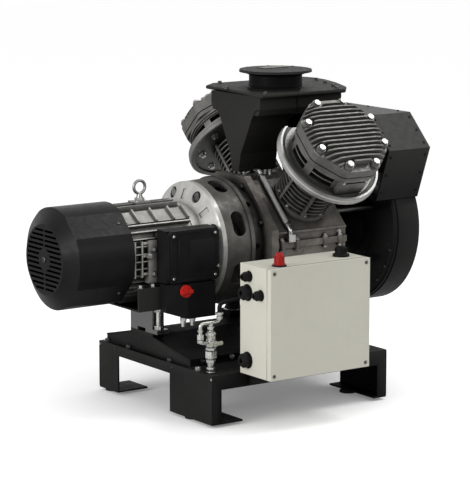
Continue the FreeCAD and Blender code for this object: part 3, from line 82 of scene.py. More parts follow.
# Camera: its direction, lens and place were fitted to the photograph
back = Vector((-0.56530, -0.80666, 0.17247)).normalized()
right = Vector((0, 0, 1)).cross(back).normalized()
up = back.cross(right)
camera_data = bpy.data.cameras.new("Camera")
camera_data.lens = 171.6
camera_data.sensor_width = 36.0
camera_data.clip_end = 60.0
camera = bpy.data.objects.new("Camera", camera_data)
scene.collection.objects.link(camera)
view_matrix = Matrix((right, up, back)).transposed().to_4x4()
view_matrix.translation = at(-3810.5, -5405.0, 1574.5)
camera.matrix_world = view_matrix
scene.camera = camera


# Lamps
def lamp(name, place, aim, size, power):
    data = bpy.data.lights.new(name, "AREA")
    data.shape = "RECTANGLE"
    data.size, data.size_y = size
    data.energy = power
    obj = bpy.data.objects.new(name, data)
    obj.location = place
    obj.rotation_euler = (Vector(aim) - Vector(place)).to_track_quat("-Z", "Y").to_euler()
    scene.collection.objects.link(obj)


MIDDLE = (0, 0, 0.45)
lamp("KeyLamp", (-3.6, -0.6, 1.5), MIDDLE, (1.6, 1.6), 71)
lamp("FrontLamp", (1.2, -4.2, 2.2), MIDDLE, (2.2, 1.4), 24)
lamp("TopLamp", (1.7, -0.75, 3.1), (0.1, -0.05, 0.5), (1.2, 1.2), 34)

# The world is white where it is seen or mirrored, and weaker as a light
world = bpy.data.worlds.new("Studio")
scene.world = world
world.use_nodes = True
wn = world.node_tree
wn.nodes.clear()
path = wn.nodes.new("ShaderNodeLightPath")
seen = wn.nodes.new("ShaderNodeMath")
seen.operation = "MAXIMUM"
wn.links.new(path.outputs["Is Camera Ray"], seen.inputs[0])
wn.links.new(path.outputs["Is Transmission Ray"], seen.inputs[1])
seen_all = wn.nodes.new("ShaderNodeMath")
seen_all.operation = "MAXIMUM"
wn.links.new(seen.outputs[0], seen_all.inputs[0])
wn.links.new(path.outputs["Is Glossy Ray"], seen_all.inputs[1])
ambient = wn.nodes.new("ShaderNodeBackground")
ambient.inputs["Color"].default_value = (1, 1, 1, 1)
ambient.inputs["Strength"].default_value = 0.45
shown = wn.nodes.new("ShaderNodeBackground")
shown.inputs["Color"].default_value = (1, 1, 1, 1)
shown.inputs["Strength"].default_value = 1.0
pick = wn.nodes.new("ShaderNodeMixShader")
wn.links.new(seen_all.outputs[0], pick.inputs[0])
wn.links.new(ambient.outputs[0], pick.inputs[1])
wn.links.new(shown.outputs[0], pick.inputs[2])
out = wn.nodes.new("ShaderNodeOutputWorld")
wn.links.new(pick.outputs[0], out.inputs[0])


# Materials
RING_SCALE = 900.0 / 6.28    # of the wave texture; its rings lie about 2 mm apart


class Tree:
    """Small helper for building one principled material."""

    def __init__(self, name, colour, rough, metal=0.0, spec=0.5, coat=0.0):
        self.mat = bpy.data.materials.new(name)
        self.mat.use_nodes = True
        self.tree = self.mat.node_tree
        self.shader = self.tree.nodes["Principled BSDF"]
        self.shader.inputs["Base Color"].default_value = (*colour, 1)
        self.shader.inputs["Roughness"].default_value = rough
        self.shader.inputs["Metallic"].default_value = metal
        self.shader.inputs["Specular IOR Level"].default_value = spec
        self.shader.inputs["Coat Weight"].default_value = coat
        self.shader.inputs["Coat Roughness"].default_value = 0.12
        self.coord = self.new("ShaderNodeTexCoord").outputs["Object"]

    def new(self, kind, **values):
        node = self.tree.nodes.new(kind)
        for key, value in values.items():
            setattr(node, key, value)
        return node

    def link(self, a, b):
        self.tree.links.new(a, b)

    def placed(self, scale=(1, 1, 1), turn=(0, 0, 0), shift=(0, 0, 0)):
        node = self.new("ShaderNodeMapping", vector_type="POINT")
        node.inputs["Location"].default_value = shift
        node.inputs["Rotation"].default_value = turn
        node.inputs["Scale"].default_value = scale
        self.link(self.coord, node.inputs["Vector"])
        return node.outputs[0]

    def noise(self, scale, detail, rough=0.55, vector=None):
        node = self.new("ShaderNodeTexNoise")
        node.inputs["Scale"].default_value = scale
        node.inputs["Detail"].default_value = detail
        node.inputs["Roughness"].default_value = rough
        self.link(vector or self.coord, node.inputs["Vector"])
        return node.outputs[0]

    def ramp(self, value, low, high, a, b):
        node = self.new("ShaderNodeMapRange")
        node.inputs["From Min"].default_value = low
        node.inputs["From Max"].default_value = high
        node.inputs["To Min"].default_value = a
        node.inputs["To Max"].default_value = b
        self.link(value, node.inputs["Value"])
        return node.outputs[0]

    def mix(self, factor, a, b):
        node = self.new("ShaderNodeMix", data_type="RGBA")
        for socket, item in ((node.inputs[0], factor), (node.inputs[6], a), (node.inputs[7], b)):
            if hasattr(item, "is_linked"):
                self.link(item, socket)
            elif isinstance(item, tuple):
                socket.default_value = (*item, 1)
            else:
                socket.default_value = item
        return node.outputs[2]

    def times(self, a, b):
        node = self.new("ShaderNodeMath", operation="MULTIPLY")
        for socket, item in ((node.inputs[0], a), (node.inputs[1], b)):
            if hasattr(item, "is_linked"):
                self.link(item, socket)
            else:
                socket.default_value = item
        return node.outputs[0]

    def crevice(self, reach, low, high):
        """Grows from 0 in tight corners to 1 on open faces."""
        node = self.new("ShaderNodeAmbientOcclusion", samples=6)
        node.inputs["Distance"].default_value = reach
        return self.ramp(node.outputs["AO"], low, high, 0.0, 1.0)

    def upward(self, low, high):
        """Grows from 0 to 1 on faces that look up."""
        node = self.new("ShaderNodeNewGeometry")
        split = self.new("ShaderNodeSeparateXYZ")
        self.link(node.outputs["Normal"], split.inputs[0])
        return self.ramp(split.outputs[2], low, high, 0.0, 1.0)

    def edges(self, low, high):
        """Grows from 0 to 1 on sharp outer edges."""
        node = self.new("ShaderNodeNewGeometry")
        return self.ramp(node.outputs["Pointiness"], low, high, 0.0, 1.0)

    def colour(self, socket):
        self.link(socket, self.shader.inputs["Base Color"])

    def rough(self, socket):
        self.link(socket, self.shader.inputs["Roughness"])

    def bump(self, height, strength, distance):
        node = self.new("ShaderNodeBump")
        node.inputs["Strength"].default_value = strength
        node.inputs["Distance"].default_value = distance
        self.link(height, node.inputs["Height"])
        previous = self.shader.inputs["Normal"]
        if previous.is_linked:
            self.link(previous.links[0].from_socket, node.inputs["Normal"])
        self.link(node.outputs[0], previous)


def powder_black(name="powder_black", spec=0.07, tint=(0.0075, 0.0075, 0.0078), rough=0.44):
    m = Tree(name, tint, 0.5, spec=spec)
    tone = m.ramp(m.noise(7.0, 4), 0.35, 0.7, 0, 1)
    paint = m.mix(tone, tuple(0.75 * c for c in tint), tuple(1.35 * c for c in tint))
    # Faces that look up are paler in random patches.
    paler_on_top = m.times(m.upward(0.55, 0.98), m.ramp(m.noise(22.0, 6, 0.65), 0.42, 0.75, 0.02, 0.3))
    worn = m.times(m.edges(0.54, 0.62), 0.5)
    skin = m.mix(worn, m.mix(paler_on_top, paint, (0.04, 0.0385, 0.036)), (0.05, 0.049, 0.046))
    # Base colour and specular level drop in corners and under nearby parts within 0.3 m: painted shade.
    open_face = m.crevice(0.3, 0.1, 0.7)
    m.colour(m.mix(open_face, tuple(0.3 * c for c in tint), skin))
    m.link(m.times(open_face, spec), m.shader.inputs["Specular IOR Level"])
    m.rough(m.ramp(m.noise(55.0, 3), 0.3, 0.7, rough, rough + 0.13))
    m.bump(m.noise(900.0, 2), 0.16, 0.0004)
    m.bump(m.noise(45.0, 2), 0.05, 0.0008)
    return m.mat


def gloss_black():
    m = Tree("gloss_black", (0.0055, 0.0055, 0.0057), 0.38, spec=0.1, coat=0.02)
    tone = m.ramp(m.noise(10.0, 3), 0.35, 0.7, 0, 1)
    m.colour(m.mix(tone, (0.0042, 0.0042, 0.0044), (0.0085, 0.0085, 0.0088)))
    m.rough(m.ramp(m.noise(80.0, 3), 0.3, 0.7, 0.32, 0.46))
    m.bump(m.noise(320.0, 2), 0.05, 0.0004)
    return m.mat


def box_paint():
    m = Tree("box_paint", (0.62, 0.61, 0.53), 0.55, spec=0.12)
    tone = m.ramp(m.noise(5.0, 3), 0.3, 0.7, 0, 1)
    paint = m.mix(tone, (0.6, 0.59, 0.51), (0.635, 0.625, 0.545))
    # Random patches of grime.
    grime_and_shade = m.times(m.ramp(m.noise(30.0, 5, 0.7), 0.5, 0.8, 0, 1), 0.1)
    m.colour(m.mix(grime_and_shade, paint, (0.43, 0.41, 0.34)))
    m.rough(m.ramp(m.noise(60.0, 3), 0.3, 0.7, 0.5, 0.64))
    m.bump(m.noise(700.0, 2), 0.1, 0.0004)
    return m.mat


def dark_plastic():
    m = Tree("dark_plastic", (0.0075, 0.0075, 0.008), 0.5, spec=0.1)
    tone = m.ramp(m.noise(12.0, 3), 0.3, 0.7, 0, 1)
    m.colour(m.mix(tone, (0.0055, 0.0055, 0.006), (0.0105, 0.0105, 0.011)))
    m.rough(m.ramp(m.noise(90.0, 3), 0.3, 0.7, 0.42, 0.58))
    m.bump(m.noise(1500.0, 1), 0.12, 0.0003)
    return m.mat


def red_plastic(name="red_plastic", depth=1.0, spec=0.5, coat=0.35):
    low, high = [tuple(depth * c for c in shade) for shade in ((0.5, 0.011, 0.009), (0.62, 0.024, 0.018))]
    m = Tree(name, low, 0.25, spec=spec, coat=coat)
    tone = m.ramp(m.noise(60.0, 2), 0.3, 0.7, 0, 1)
    m.colour(m.mix(tone, low, high))
    m.rough(m.ramp(m.noise(200.0, 2), 0.3, 0.7, 0.2, 0.34))
    m.bump(m.noise(600.0, 1), 0.04, 0.0003)
    return m.mat


def cast_alu(name="cast_alu", light=(0.5, 0.495, 0.47), dark=(0.3, 0.295, 0.275),
             grime_and_shade=(0.03, 0.0285, 0.026), reach=0.022, grain=0.3, metal=0.55):
    """Sand-cast skin; corners within the reach, in metres, are darkened: grime and painted shade."""
    m = Tree(name, light, 0.42, metal=metal, spec=0.25)
    tone = m.ramp(m.noise(26.0, 6, 0.65), 0.36, 0.68, 0, 1)
    skin = m.mix(tone, dark, light)
    fine = m.ramp(m.noise(420.0, 3), 0.3, 0.75, 0.0, 0.35)
    skin = m.mix(fine, skin, dark)
    # Darkening in corners within the reach: grime and painted shade.
    open_face = m.crevice(reach, 0.3, 0.95)
    m.colour(m.mix(open_face, grime_and_shade, skin))
    m.rough(m.ramp(m.noise(65.0, 4), 0.3, 0.7, 0.36, 0.56))
    m.bump(m.noise(520.0, 3), grain, 0.0006)
    m.bump(m.noise(70.0, 3), 0.12, 0.0012)
    return m.mat


def machined(name, turn, shift, light):
    """Turned face with fine rings about an axis."""
    m = Tree(name, light, 0.35, metal=0.6, spec=0.25)
    local = m.placed(turn=turn, shift=shift)
    rings = m.new("ShaderNodeTexWave", wave_type="RINGS", rings_direction="Z", wave_profile="SAW")
    rings.inputs["Scale"].default_value = RING_SCALE
    rings.inputs["Distortion"].default_value = 1.2
    rings.inputs["Detail"].default_value = 2.0
    m.link(local, rings.inputs["Vector"])
    tone = m.ramp(m.noise(18.0, 4), 0.3, 0.7, 0, 1)
    skin = m.mix(tone, tuple(0.72 * c for c in light), light)
    # Corners and faces under nearby parts are darkened: painted shade.
    near = m.crevice(0.03, 0.3, 0.9)
    wide = m.crevice(0.25, 0.15, 0.85)
    m.colour(m.mix(m.times(near, wide), (0.035, 0.034, 0.032), skin))
    m.rough(m.ramp(rings.outputs["Fac"], 0, 1, 0.32, 0.48))
    m.bump(rings.outputs["Fac"], 0.12, 0.0003)
    return m.mat


def steel(name="steel", light=(0.5, 0.5, 0.5)):
    m = Tree(name, light, 0.3, metal=1.0)
    brushed = m.noise(60.0, 4, 0.7, m.placed(scale=(1.0, 14.0, 14.0)))
    m.colour(m.mix(m.ramp(brushed, 0.3, 0.7, 0, 1), tuple(0.72 * c for c in light), light))
    m.rough(m.ramp(brushed, 0.3, 0.7, 0.24, 0.42))
    m.bump(brushed, 0.08, 0.0003)
    return m.mat


def zinc():
    m = Tree("zinc", (0.55, 0.55, 0.535), 0.25, metal=1.0)
    tone = m.ramp(m.noise(160.0, 3), 0.3, 0.7, 0, 1)
    skin = m.mix(tone, (0.42, 0.42, 0.405), (0.62, 0.62, 0.6))
    # Tight corners are darkened: painted shade.
    open_face = m.crevice(0.008, 0.2, 0.8)
    m.colour(m.mix(open_face, (0.16, 0.155, 0.15), skin))
    m.rough(m.ramp(m.noise(300.0, 3), 0.3, 0.7, 0.2, 0.36))
    m.bump(m.noise(700.0, 2), 0.05, 0.0002)
    return m.mat


def laminations():
    m = Tree("laminations", (0.1, 0.06, 0.04), 0.4, metal=0.6)
    wave = m.new("ShaderNodeTexWave", bands_direction="X")
    wave.inputs["Scale"].default_value = 320.0
    m.link(m.coord, wave.inputs["Vector"])
    m.colour(m.mix(wave.outputs["Fac"], (0.05, 0.03, 0.02), (0.16, 0.1, 0.07)))
    m.bump(wave.outputs["Fac"], 0.3, 0.0005)
    return m.mat


def rubber():
    m = Tree("rubber", (0.012, 0.012, 0.012), 0.75, spec=0.2)
    tone = m.ramp(m.noise(40.0, 4), 0.3, 0.7, 0, 1)
    m.colour(m.mix(tone, (0.008, 0.008, 0.008), (0.02, 0.0195, 0.019)))
    m.rough(m.ramp(m.noise(120.0, 3), 0.3, 0.7, 0.66, 0.85))
    m.bump(m.noise(1100.0, 2), 0.2, 0.0004)
    return m.mat


def ring_metal(name, side, light):
    inverse = bank_matrix(side).inverted()
    return machined(name, tuple(inverse.to_euler()), tuple(inverse.translation), light)


BLACK, GLOSS, PAINT, PLASTIC, RED = powder_black(), gloss_black(), box_paint(), dark_plastic(), red_plastic()
LAMP = red_plastic("lamp_red", 0.62, 0.2, 0.06)
HOOD = powder_black("hood_black", 0.11, (0.0062, 0.0062, 0.0064), 0.35)
HOPPER = powder_black("hopper_black", 0.055, (0.0055, 0.0055, 0.0057), 0.46)
CAST = cast_alu()
# Rows: name, light, dark, colour of the darkened corners (grime and painted shade), their reach in metres,
# grain, and for the tube its metalness.
CASE, HEAD, COVER, SHIELD, BELL, BARREL, TUBE = [cast_alu(*row) for row in (
    ("case_alu", (0.225, 0.21, 0.19), (0.12, 0.111, 0.098), (0.014, 0.0125, 0.011), 0.05, 0.35),
    ("head_alu", (0.24, 0.235, 0.22), (0.13, 0.127, 0.118), (0.012, 0.0115, 0.0105), 0.03, 0.35),
    ("cover_alu", (0.185, 0.182, 0.172), (0.125, 0.122, 0.115), (0.07, 0.068, 0.064), 0.006, 0.4),
    ("shield_alu", (0.56, 0.555, 0.53), (0.4, 0.395, 0.375), (0.05, 0.047, 0.043), 0.02, 0.25),
    ("bell_alu", (0.16, 0.156, 0.145), (0.08, 0.078, 0.071), (0.012, 0.0115, 0.0105), 0.06, 0.3),
    ("barrel_alu", (0.24, 0.235, 0.22), (0.13, 0.127, 0.118), (0.014, 0.0133, 0.0125), 0.014, 0.3),
    ("tube_alu", (0.44, 0.435, 0.42), (0.34, 0.336, 0.324), (0.03, 0.0285, 0.026), 0.02, 0.06, 0.2),
)]
STEEL, ZINC, LAMINATION, RUBBER = steel(), zinc(), laminations(), rubber()
BLOCK = steel("block_steel", (0.2, 0.2, 0.2))
SCREW = steel("dark_screw", (0.12, 0.12, 0.12))
BOLT = steel("bolt_steel", (0.3, 0.3, 0.295))
RING_RIGHT = ring_metal("ring_metal_right", 1, (0.5, 0.495, 0.48))
# The left plate is the same metal made darker: painted shade.
RING_LEFT_SHADED = ring_metal("ring_metal_left_shaded", -1, (0.26, 0.257, 0.25))

LOOKS = (
    (BLACK, "base_frame engine_bed motor_cradle intake_neck neck_cover box_brackets fan_guard"),
    (HOOD, "fan_shroud shroud_nose"),
    (HOPPER, "intake_hopper hopper_lid"),
    (GLOSS, "fan_cowl"),
    (PAINT, "control_box control_box_lid"),
    (PLASTIC, "terminal_box terminal_lid switch_box cable_glands box_cap motor_fan drain_pipe"),
    (RED, "switch_knob"),
    (LAMP, "indicator_lamp"),
    (CAST, "motor_housing rear_shield piston_right piston_left cooling_fan"),
    (SHIELD, "drive_end_shield"),
    (BELL, "bell_housing"),
    (HEAD, "head_right head_left"),
    (COVER, "head_cover_right head_cover_left"),
    (BARREL, "cylinder_right cylinder_left"),
    (CASE, "crankcase_upper crankcase_lower"),
    (RING_RIGHT, "ring_plate_right"),
    (RING_LEFT_SHADED, "ring_plate_left"),
    (STEEL, "hopper_stand motor_rotor crankshaft con_rod_right con_rod_left shaft_bearings"),
    (STEEL, "motor_hub crank_hub"),
    (SCREW, "shroud_stays"),
    (BLOCK, "motor_block"),
    (BOLT, "eye_bolt flange_bolts head_bolts"),
    (ZINC, "drain_valve drain_handle breather_tube"),
    (LAMINATION, "stator"),
    (RUBBER, "floor_pads rubber_mounts coupling_spider"),
)
for look, names in LOOKS:
    for name in names.split():
        for place in nodes[name].material_slots:
            place.material = look

# Floor: white paper that keeps the object's shadow and glows where nothing is near; the glow dims near the
# object, a painted soft shadow
FLOOR_REACH = 14    # metres
floor_mesh = bpy.data.meshes.new("Floor")
floor_corners = corners(-FLOOR_REACH, FLOOR_REACH, -FLOOR_REACH, FLOOR_REACH)
floor_mesh.from_pydata([(x, y, 0) for x, y in floor_corners], [], [(0, 1, 2, 3)])
floor = bpy.data.objects.new("Floor", floor_mesh)
scene.collection.objects.link(floor)
fm = bpy.data.materials.new("floor_white")
fm.use_nodes = True
ft = fm.node_tree
ft.nodes.clear()
diffuse = ft.nodes.new("ShaderNodeBsdfDiffuse")
diffuse.inputs["Color"].default_value = (0.86, 0.86, 0.86, 1)
glow = ft.nodes.new("ShaderNodeEmission")
floor_path = ft.nodes.new("ShaderNodeLightPath")
shade = ft.nodes.new("ShaderNodeAmbientOcclusion")
shade.samples = 8
shade.inputs["Distance"].default_value = 0.6
# The glow falls as the object closes in: painted shadow.
open_floor = ft.nodes.new("ShaderNodeMapRange")
for socket, value in (("From Min", 0.25), ("From Max", 0.93), ("To Min", 0.17), ("To Max", 0.6)):
    open_floor.inputs[socket].default_value = value
ft.links.new(shade.outputs["AO"], open_floor.inputs[0])
boost = ft.nodes.new("ShaderNodeMath")
boost.operation = "MULTIPLY"
ft.links.new(open_floor.outputs[0], boost.inputs[1])
ft.links.new(floor_path.outputs["Is Camera Ray"], boost.inputs[0])
ft.links.new(boost.outputs[0], glow.inputs["Strength"])
add = ft.nodes.new("ShaderNodeAddShader")
ft.links.new(diffuse.outputs[0], add.inputs[0])
ft.links.new(glow.outputs[0], add.inputs[1])
floor_out = ft.nodes.new("ShaderNodeOutputMaterial")
ft.links.new(add.outputs[0], floor_out.inputs["Surface"])
floor_mesh.materials.append(fm)


# Small pieces
class Shape:
    """Gathers simple solids into one mesh."""

    def __init__(self):
        self.bm = bmesh.new()

    def put(self, made, matrix):
        bmesh.ops.transform(self.bm, matrix=matrix, verts=made)

    def drum(self, matrix, r0, r1, low, high, sides=24):
        """Frustum along the matrix's local Z, in millimetres."""
        made = bmesh.ops.create_cone(self.bm, cap_ends=True, segments=sides, radius1=r0 / 1000,
                                     radius2=r1 / 1000, depth=(high - low) / 1000)["verts"]
        self.put(made, matrix @ Matrix.Translation((0, 0, (low + high) / 2000)))

    def lathe(self, matrix, outline, sides=32):
        """Solid of revolution from (radius, height) pairs about local Z."""
        rings = []
        for radius, height in outline:
            ring = []
            for i in range(sides):
                angle = 2 * math.pi * i / sides
                point = Vector((radius * math.cos(angle), radius * math.sin(angle), height)) / 1000
                ring.append(self.bm.verts.new(matrix @ point))
            rings.append(ring)
        for low, high in zip(rings, rings[1:]):
            for i in range(sides):
                j = (i + 1) % sides
                self.bm.faces.new((low[i], low[j], high[j], high[i]))
        self.bm.faces.new(list(reversed(rings[0])))
        self.bm.faces.new(rings[-1])

    def sweep(self, points, radius, sides=10, closed=False, ripple=0.0, pitch=0.0):
        """Round bar along a run of places; a ripple gives it the scales of a weld."""
        run = list(points)
        if pitch:
            ends = run[1:] + run[:1] if closed else run[1:]
            fine = []
            for a, b in zip(run, ends):
                steps = max(1, round((b - a).length * 1000 / pitch))
                fine += [a.lerp(b, i / steps) for i in range(steps)]
            run = fine if closed else fine + [run[-1]]
        count = len(run)
        rings = []
        for i, place in enumerate(run):
            before = run[i - 1] if i or closed else place
            after = run[(i + 1) % count] if i < count - 1 or closed else place
            along = (after - before).normalized()
            side = along.cross(Vector((0.31, 0.17, 0.93))).normalized()
            lift = side.cross(along)
            reach = radius * (1 + ripple * (-1) ** i) / 1000
            ring = []
            for k in range(sides):
                angle = 2 * math.pi * k / sides
                outward = side * math.cos(angle) + lift * math.sin(angle)
                ring.append(self.bm.verts.new(place + outward * reach))
            rings.append(ring)
        pairs = list(zip(rings, rings[1:] + rings[:1])) if closed else list(zip(rings, rings[1:]))
        for low, high in pairs:
            for i in range(sides):
                j = (i + 1) % sides
                self.bm.faces.new((low[i], low[j], high[j], high[i]))
        if not closed:
            self.bm.faces.new(list(reversed(rings[0])))
            self.bm.faces.new(rings[-1])

    def block(self, matrix, size, shift=(0, 0, 0)):
        made = bmesh.ops.create_cube(self.bm, size=1.0)["verts"]
        scale = Matrix.Diagonal((*[s / 1000 for s in size], 1))
        self.put(made, matrix @ Matrix.Translation(Vector(shift) / 1000) @ scale)

    def finish(self, name, look, body="unit", bevel=0.0):
        """Makes the object, rounds its edges by the bevel and hangs it on a CAD body."""
        mesh = bpy.data.meshes.new(name)
        bmesh.ops.recalc_face_normals(self.bm, faces=self.bm.faces)
        self.bm.to_mesh(mesh)
        self.bm.free()
        obj = bpy.data.objects.new(name, mesh)
        scene.collection.objects.link(obj)
        mesh.materials.append(look)
        if bevel:
            mod = obj.modifiers.new("Bevel", "BEVEL")
            mod.width = bevel / 1000
            mod.segments = 2
            mod.limit_method = "ANGLE"
            mod.angle_limit = math.radians(35)
        for face in mesh.polygons:
            face.use_smooth = True
        mod = obj.modifiers.new("Edges", "EDGE_SPLIT")
        mod.split_angle = math.radians(38)
        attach(obj, body)


TO = {
    "+z": Matrix(),
    "-z": Matrix.Rotation(math.pi, 4, "X"),
    "+x": Matrix.Rotation(math.pi / 2, 4, "Y"),
    "-x": Matrix.Rotation(-math.pi / 2, 4, "Y"),
    "+y": Matrix.Rotation(-math.pi / 2, 4, "X"),
    "-y": Matrix.Rotation(math.pi / 2, 4, "X"),
}
SHEET_SCREW = (4.0, 2.4)    # head radius and height of the screws in sheet metal
LID_SCREW = (4.2, 2.6)
CORNER_SCREW = (3.6, 2.2)


def facing(place, way):
    return Matrix.Translation(place) @ TO[way]


def moved(x, y, z):
    return Matrix.Translation(Vector((x, y, z)) / 1000)


def hexagon(shape, matrix, across, low, high):
    shape.drum(matrix, across / math.sqrt(3), across / math.sqrt(3), low, high, 6)


def hex_bolt(shape, matrix, across, high):
    """Washer, hexagon head and a short stud end."""
    shape.drum(matrix, across * 0.78, across * 0.78, 0, 1.6, 20)
    hexagon(shape, matrix, across, 1.2, high + 1.4)
    shape.drum(matrix, across * 0.42, across * 0.36, high + 1.4, high + 2.0, 16)


def pan_screw(shape, matrix, radius, high):
    """Round head with a round recess in its top."""
    shape.lathe(matrix, [(radius, 0), (radius, high * 0.5), (radius * 0.82, high * 0.92),
                         (radius * 0.55, high), (radius * 0.5, high * 0.45), (0.01, high * 0.4)], 20)


def ring_turns(count, start=0.0):
    return [Matrix.Rotation(math.radians(start + 360.0 * i / count), 4, "Z") for i in range(count)]


def on_bank(side, x, y, z):
    """A frame on a cylinder bank, with its local Z along the bank."""
    return bank_matrix(side) @ moved(x, y, z)


def out_from_axis(x, radius, degrees):
    """A frame whose local Z points away from the crank axis."""
    turn = Matrix.Rotation(math.radians(degrees), 4, "X")
    return Matrix.Translation(on_axis(x, 0, 0)) @ turn @ moved(0, 0, radius)


def axis_arc(x, radius, degrees, lift=0.0):
    """Places on a circle round the crank axis, or round a line that lies above it."""
    angles = [math.radians(a) for a in degrees]
    return [on_axis(x, radius * math.sin(a), lift + radius * math.cos(a)) for a in angles]


# Control box: lid screws, seam gasket, grip ribs on the lamp, the cap and the glands
box_low, box_high = box_of("control_box")
lid_front, lid_seam = [corner.y for corner in box_of("control_box_lid")]
GLANDS = ((-326, 413, 13), (-318.5, 368, 19.5), (-379, 369, 13), (-319, 184, 19.5))    # Y, Z, radius
s = Shape()
for x, z in spots("control_box_lid", "xz", 12):
    pan_screw(s, facing(at(x, lid_front + 2, z), "-y"), *LID_SCREW)
s.finish("box_lid_screws", SCREW)

s = Shape()
seam = [at(x, lid_seam, z) for x, z in corners(box_low.x, box_high.x, box_low.z, box_high.z)]
s.sweep(seam, 0.9, 6, closed=True)
s.finish("box_gasket", RUBBER)

s = Shape()
lamp_foot = facing(at(*middle_of("indicator_lamp").xy, box_high.z), "+z")
for turn in ring_turns(14):
    s.block(lamp_foot @ turn, (1.6, 1.8, 19), (13.4, 0, 17))
s.finish("lamp_ribs", LAMP, bevel=0.4)

s = Shape()
s.lathe(lamp_foot, [(20, 0), (20, 2.2), (18.5, 3.6), (0.01, 3.6)])
cap_foot = facing(at(*middle_of("box_cap").xy, box_high.z), "+z")
for turn in ring_turns(24):
    s.block(cap_foot @ turn, (1.8, 1.6, 15), (16.1, 0, 16))
s.lathe(cap_foot, [(13, 23.5), (13, 25.5), (11, 26.5), (0.01, 26.5)], 24)
for y, z, radius in GLANDS:
    gland = facing(at(box_low.x, y, z), "-x")
    for turn in ring_turns(10):
        s.block(gland @ turn, (1.6, 2.0, 8), (radius, 0, 11.5))
    s.lathe(gland, [(radius * 1.18, -0.5), (radius * 1.18, 1.2), (radius * 1.05, 1.8), (0.01, 1.8)], 24)
s.finish("box_fitting_ribs", PLASTIC, bevel=0.3)

# Terminal box: rim, screw bosses and panels on the lid, and the screws
lid_low, lid_high = box_of("terminal_lid")
lid_middle = middle_of("terminal_lid")
LID_SCREWS = spots("terminal_lid", "xz", 14)
RIM, RIM_LIFT = (5, 2.6), (0, 0, 0.9)
PANELS = ((-284, 438, (7, 92, 3.4), 1.0), (-205, lid_middle.z, (86, 88, 1.6), 0.2))    # X, Z, size, lift
s = Shape()
for z in (lid_low.z + 6, lid_high.z - 6):
    s.block(facing(at(lid_middle.x, lid_low.y, z), "-y"), (132, *RIM), RIM_LIFT)
for x in (lid_low.x + 7, lid_high.x - 7):
    s.block(facing(at(x, lid_low.y, lid_middle.z), "-y"), (RIM[0], 116, RIM[1]), RIM_LIFT)
for x, z in LID_SCREWS:
    s.block(facing(at(x, lid_low.y, z), "-y"), (19, 19, 3.2), (0, 0, 1.0))
for x, z, size, lift in PANELS:
    s.block(facing(at(x, lid_low.y, z), "-y"), size, (0, 0, lift))
s.finish("terminal_lid_relief", PLASTIC, bevel=0.8)

s = Shape()
for x, z in LID_SCREWS:
    pan_screw(s, facing(at(x, lid_low.y - 2.5, z), "-y"), *LID_SCREW)
hex_bolt(s, facing(at(lid_high.x - 4, lid_low.y + 0.5, 404), "-y"), 8.0, 4.0)
s.finish("terminal_lid_screws", ZINC)

# Motor: screws on the cowl's rim, and the one in the middle of its grille
RIM_X, RIM_RADIUS = -416, 136
s = Shape()
for degrees in (45, 135, 225, 315):
    pan_screw(s, out_from_axis(RIM_X, RIM_RADIUS, degrees), 4.2, 2.8)
pan_screw(s, facing(on_axis(box_of("fan_cowl")[0].x, 0, 0), "-x"), 7.5, 3.6)
s.finish("cowl_screws", SCREW)

# Motor: bolts beside the terminal box, nut of the lifting eye, cradle bolts
cradle_low, cradle_high = box_of("motor_cradle")
BOLT_SINK = 0.4
SIDE_BOLTS = (((-325, -47.3, 389), 9.0, 4.0), ((-325, -47.3, 457), 9.0, 4.0), ((-338, -50, 441), 13.0, 7.0))
EYE_SEAT = 134.5    # above the axis
TOP_BOLTS = product((-374, -334, -182), (-53, 223))
FOOT_BOLTS = product((-350, -212), (AXIS[0] - 60, AXIS[0] + 60))
s = Shape()
for place, across, high in SIDE_BOLTS:
    hex_bolt(s, facing(at(*place), "-y"), across, high)
hex_bolt(s, facing(on_axis(middle_of("eye_bolt").x, 0, EYE_SEAT), "+z"), 24.0, 8.0)
for x, y in TOP_BOLTS:
    hex_bolt(s, facing(at(x, y, cradle_high.z - BOLT_SINK), "+z"), 13.0, 7.0)
for x, y in FOOT_BOLTS:
    hex_bolt(s, facing(at(x, y, cradle_low.z + BOLT_SINK), "-z"), 15.0, 8.0)
s.finish("motor_bolts", ZINC)

# Motor block: nuts, washers and stud of its tie bolt, and the switch box's two glands
TIE = (-270, 17)
SWITCH_FOOT = box_of("switch_box")[0].z
GLAND_RINGS = ((9.5, -8, 1, 6), (8.0, -15, -7, 24), (5.2, -24, -14, 24))    # radius, low, high, sides
s = Shape()
for z, washer_low, washer_high in ((217.5, 9.2, 11), (269.5, -1.2, 0.6)):
    tie = facing(at(*TIE, z), "+z")
    s.drum(tie, 10.8, 10.8, 0, 10, 6)
    s.drum(tie, 12.6, 12.6, washer_low, washer_high)
s.lathe(facing(at(*TIE, 227), "+z"), [(6.6, 0), (6.6, 43), (0.01, 43)], 24)
for x in (-256, -226):
    for radius, low, high, sides in GLAND_RINGS:
        s.drum(facing(at(x, -86, SWITCH_FOOT), "+z"), radius, radius, low, high, sides)
s.finish("motor_block_bolt", ZINC)

# Motor side: cast ribs up and along the fins beside the terminal box, and a round boss
RIB_FACE = -38
s = Shape()
for x in (-384, -361, -338):
    s.block(facing(at(x, RIB_FACE, 432), "-y"), (5, 100, 12), (0, 0, 2))
for z in (392, 441, 476):
    s.block(facing(at(-350, RIB_FACE, z), "-y"), (24, 7, 10), (0, 0, 2))
s.drum(facing(at(-338, RIB_FACE - 8, 441), "-y"), 11, 9.5, -2, 4)
s.finish("motor_side_ribs", CAST, bevel=1.0)

# Bell housing: bolts to the crankcase plate
BELL_END, BELL_CIRCLE = box_of("bell_housing")[1].x + 0.3, 169.5
s = Shape()
for i in range(8):
    hex_bolt(s, out_from_axis(BELL_END, BELL_CIRCLE, 22.5 + 45 * i) @ TO["-x"], 12.0, 7.0)
s.finish("bell_bolts", SCREW)

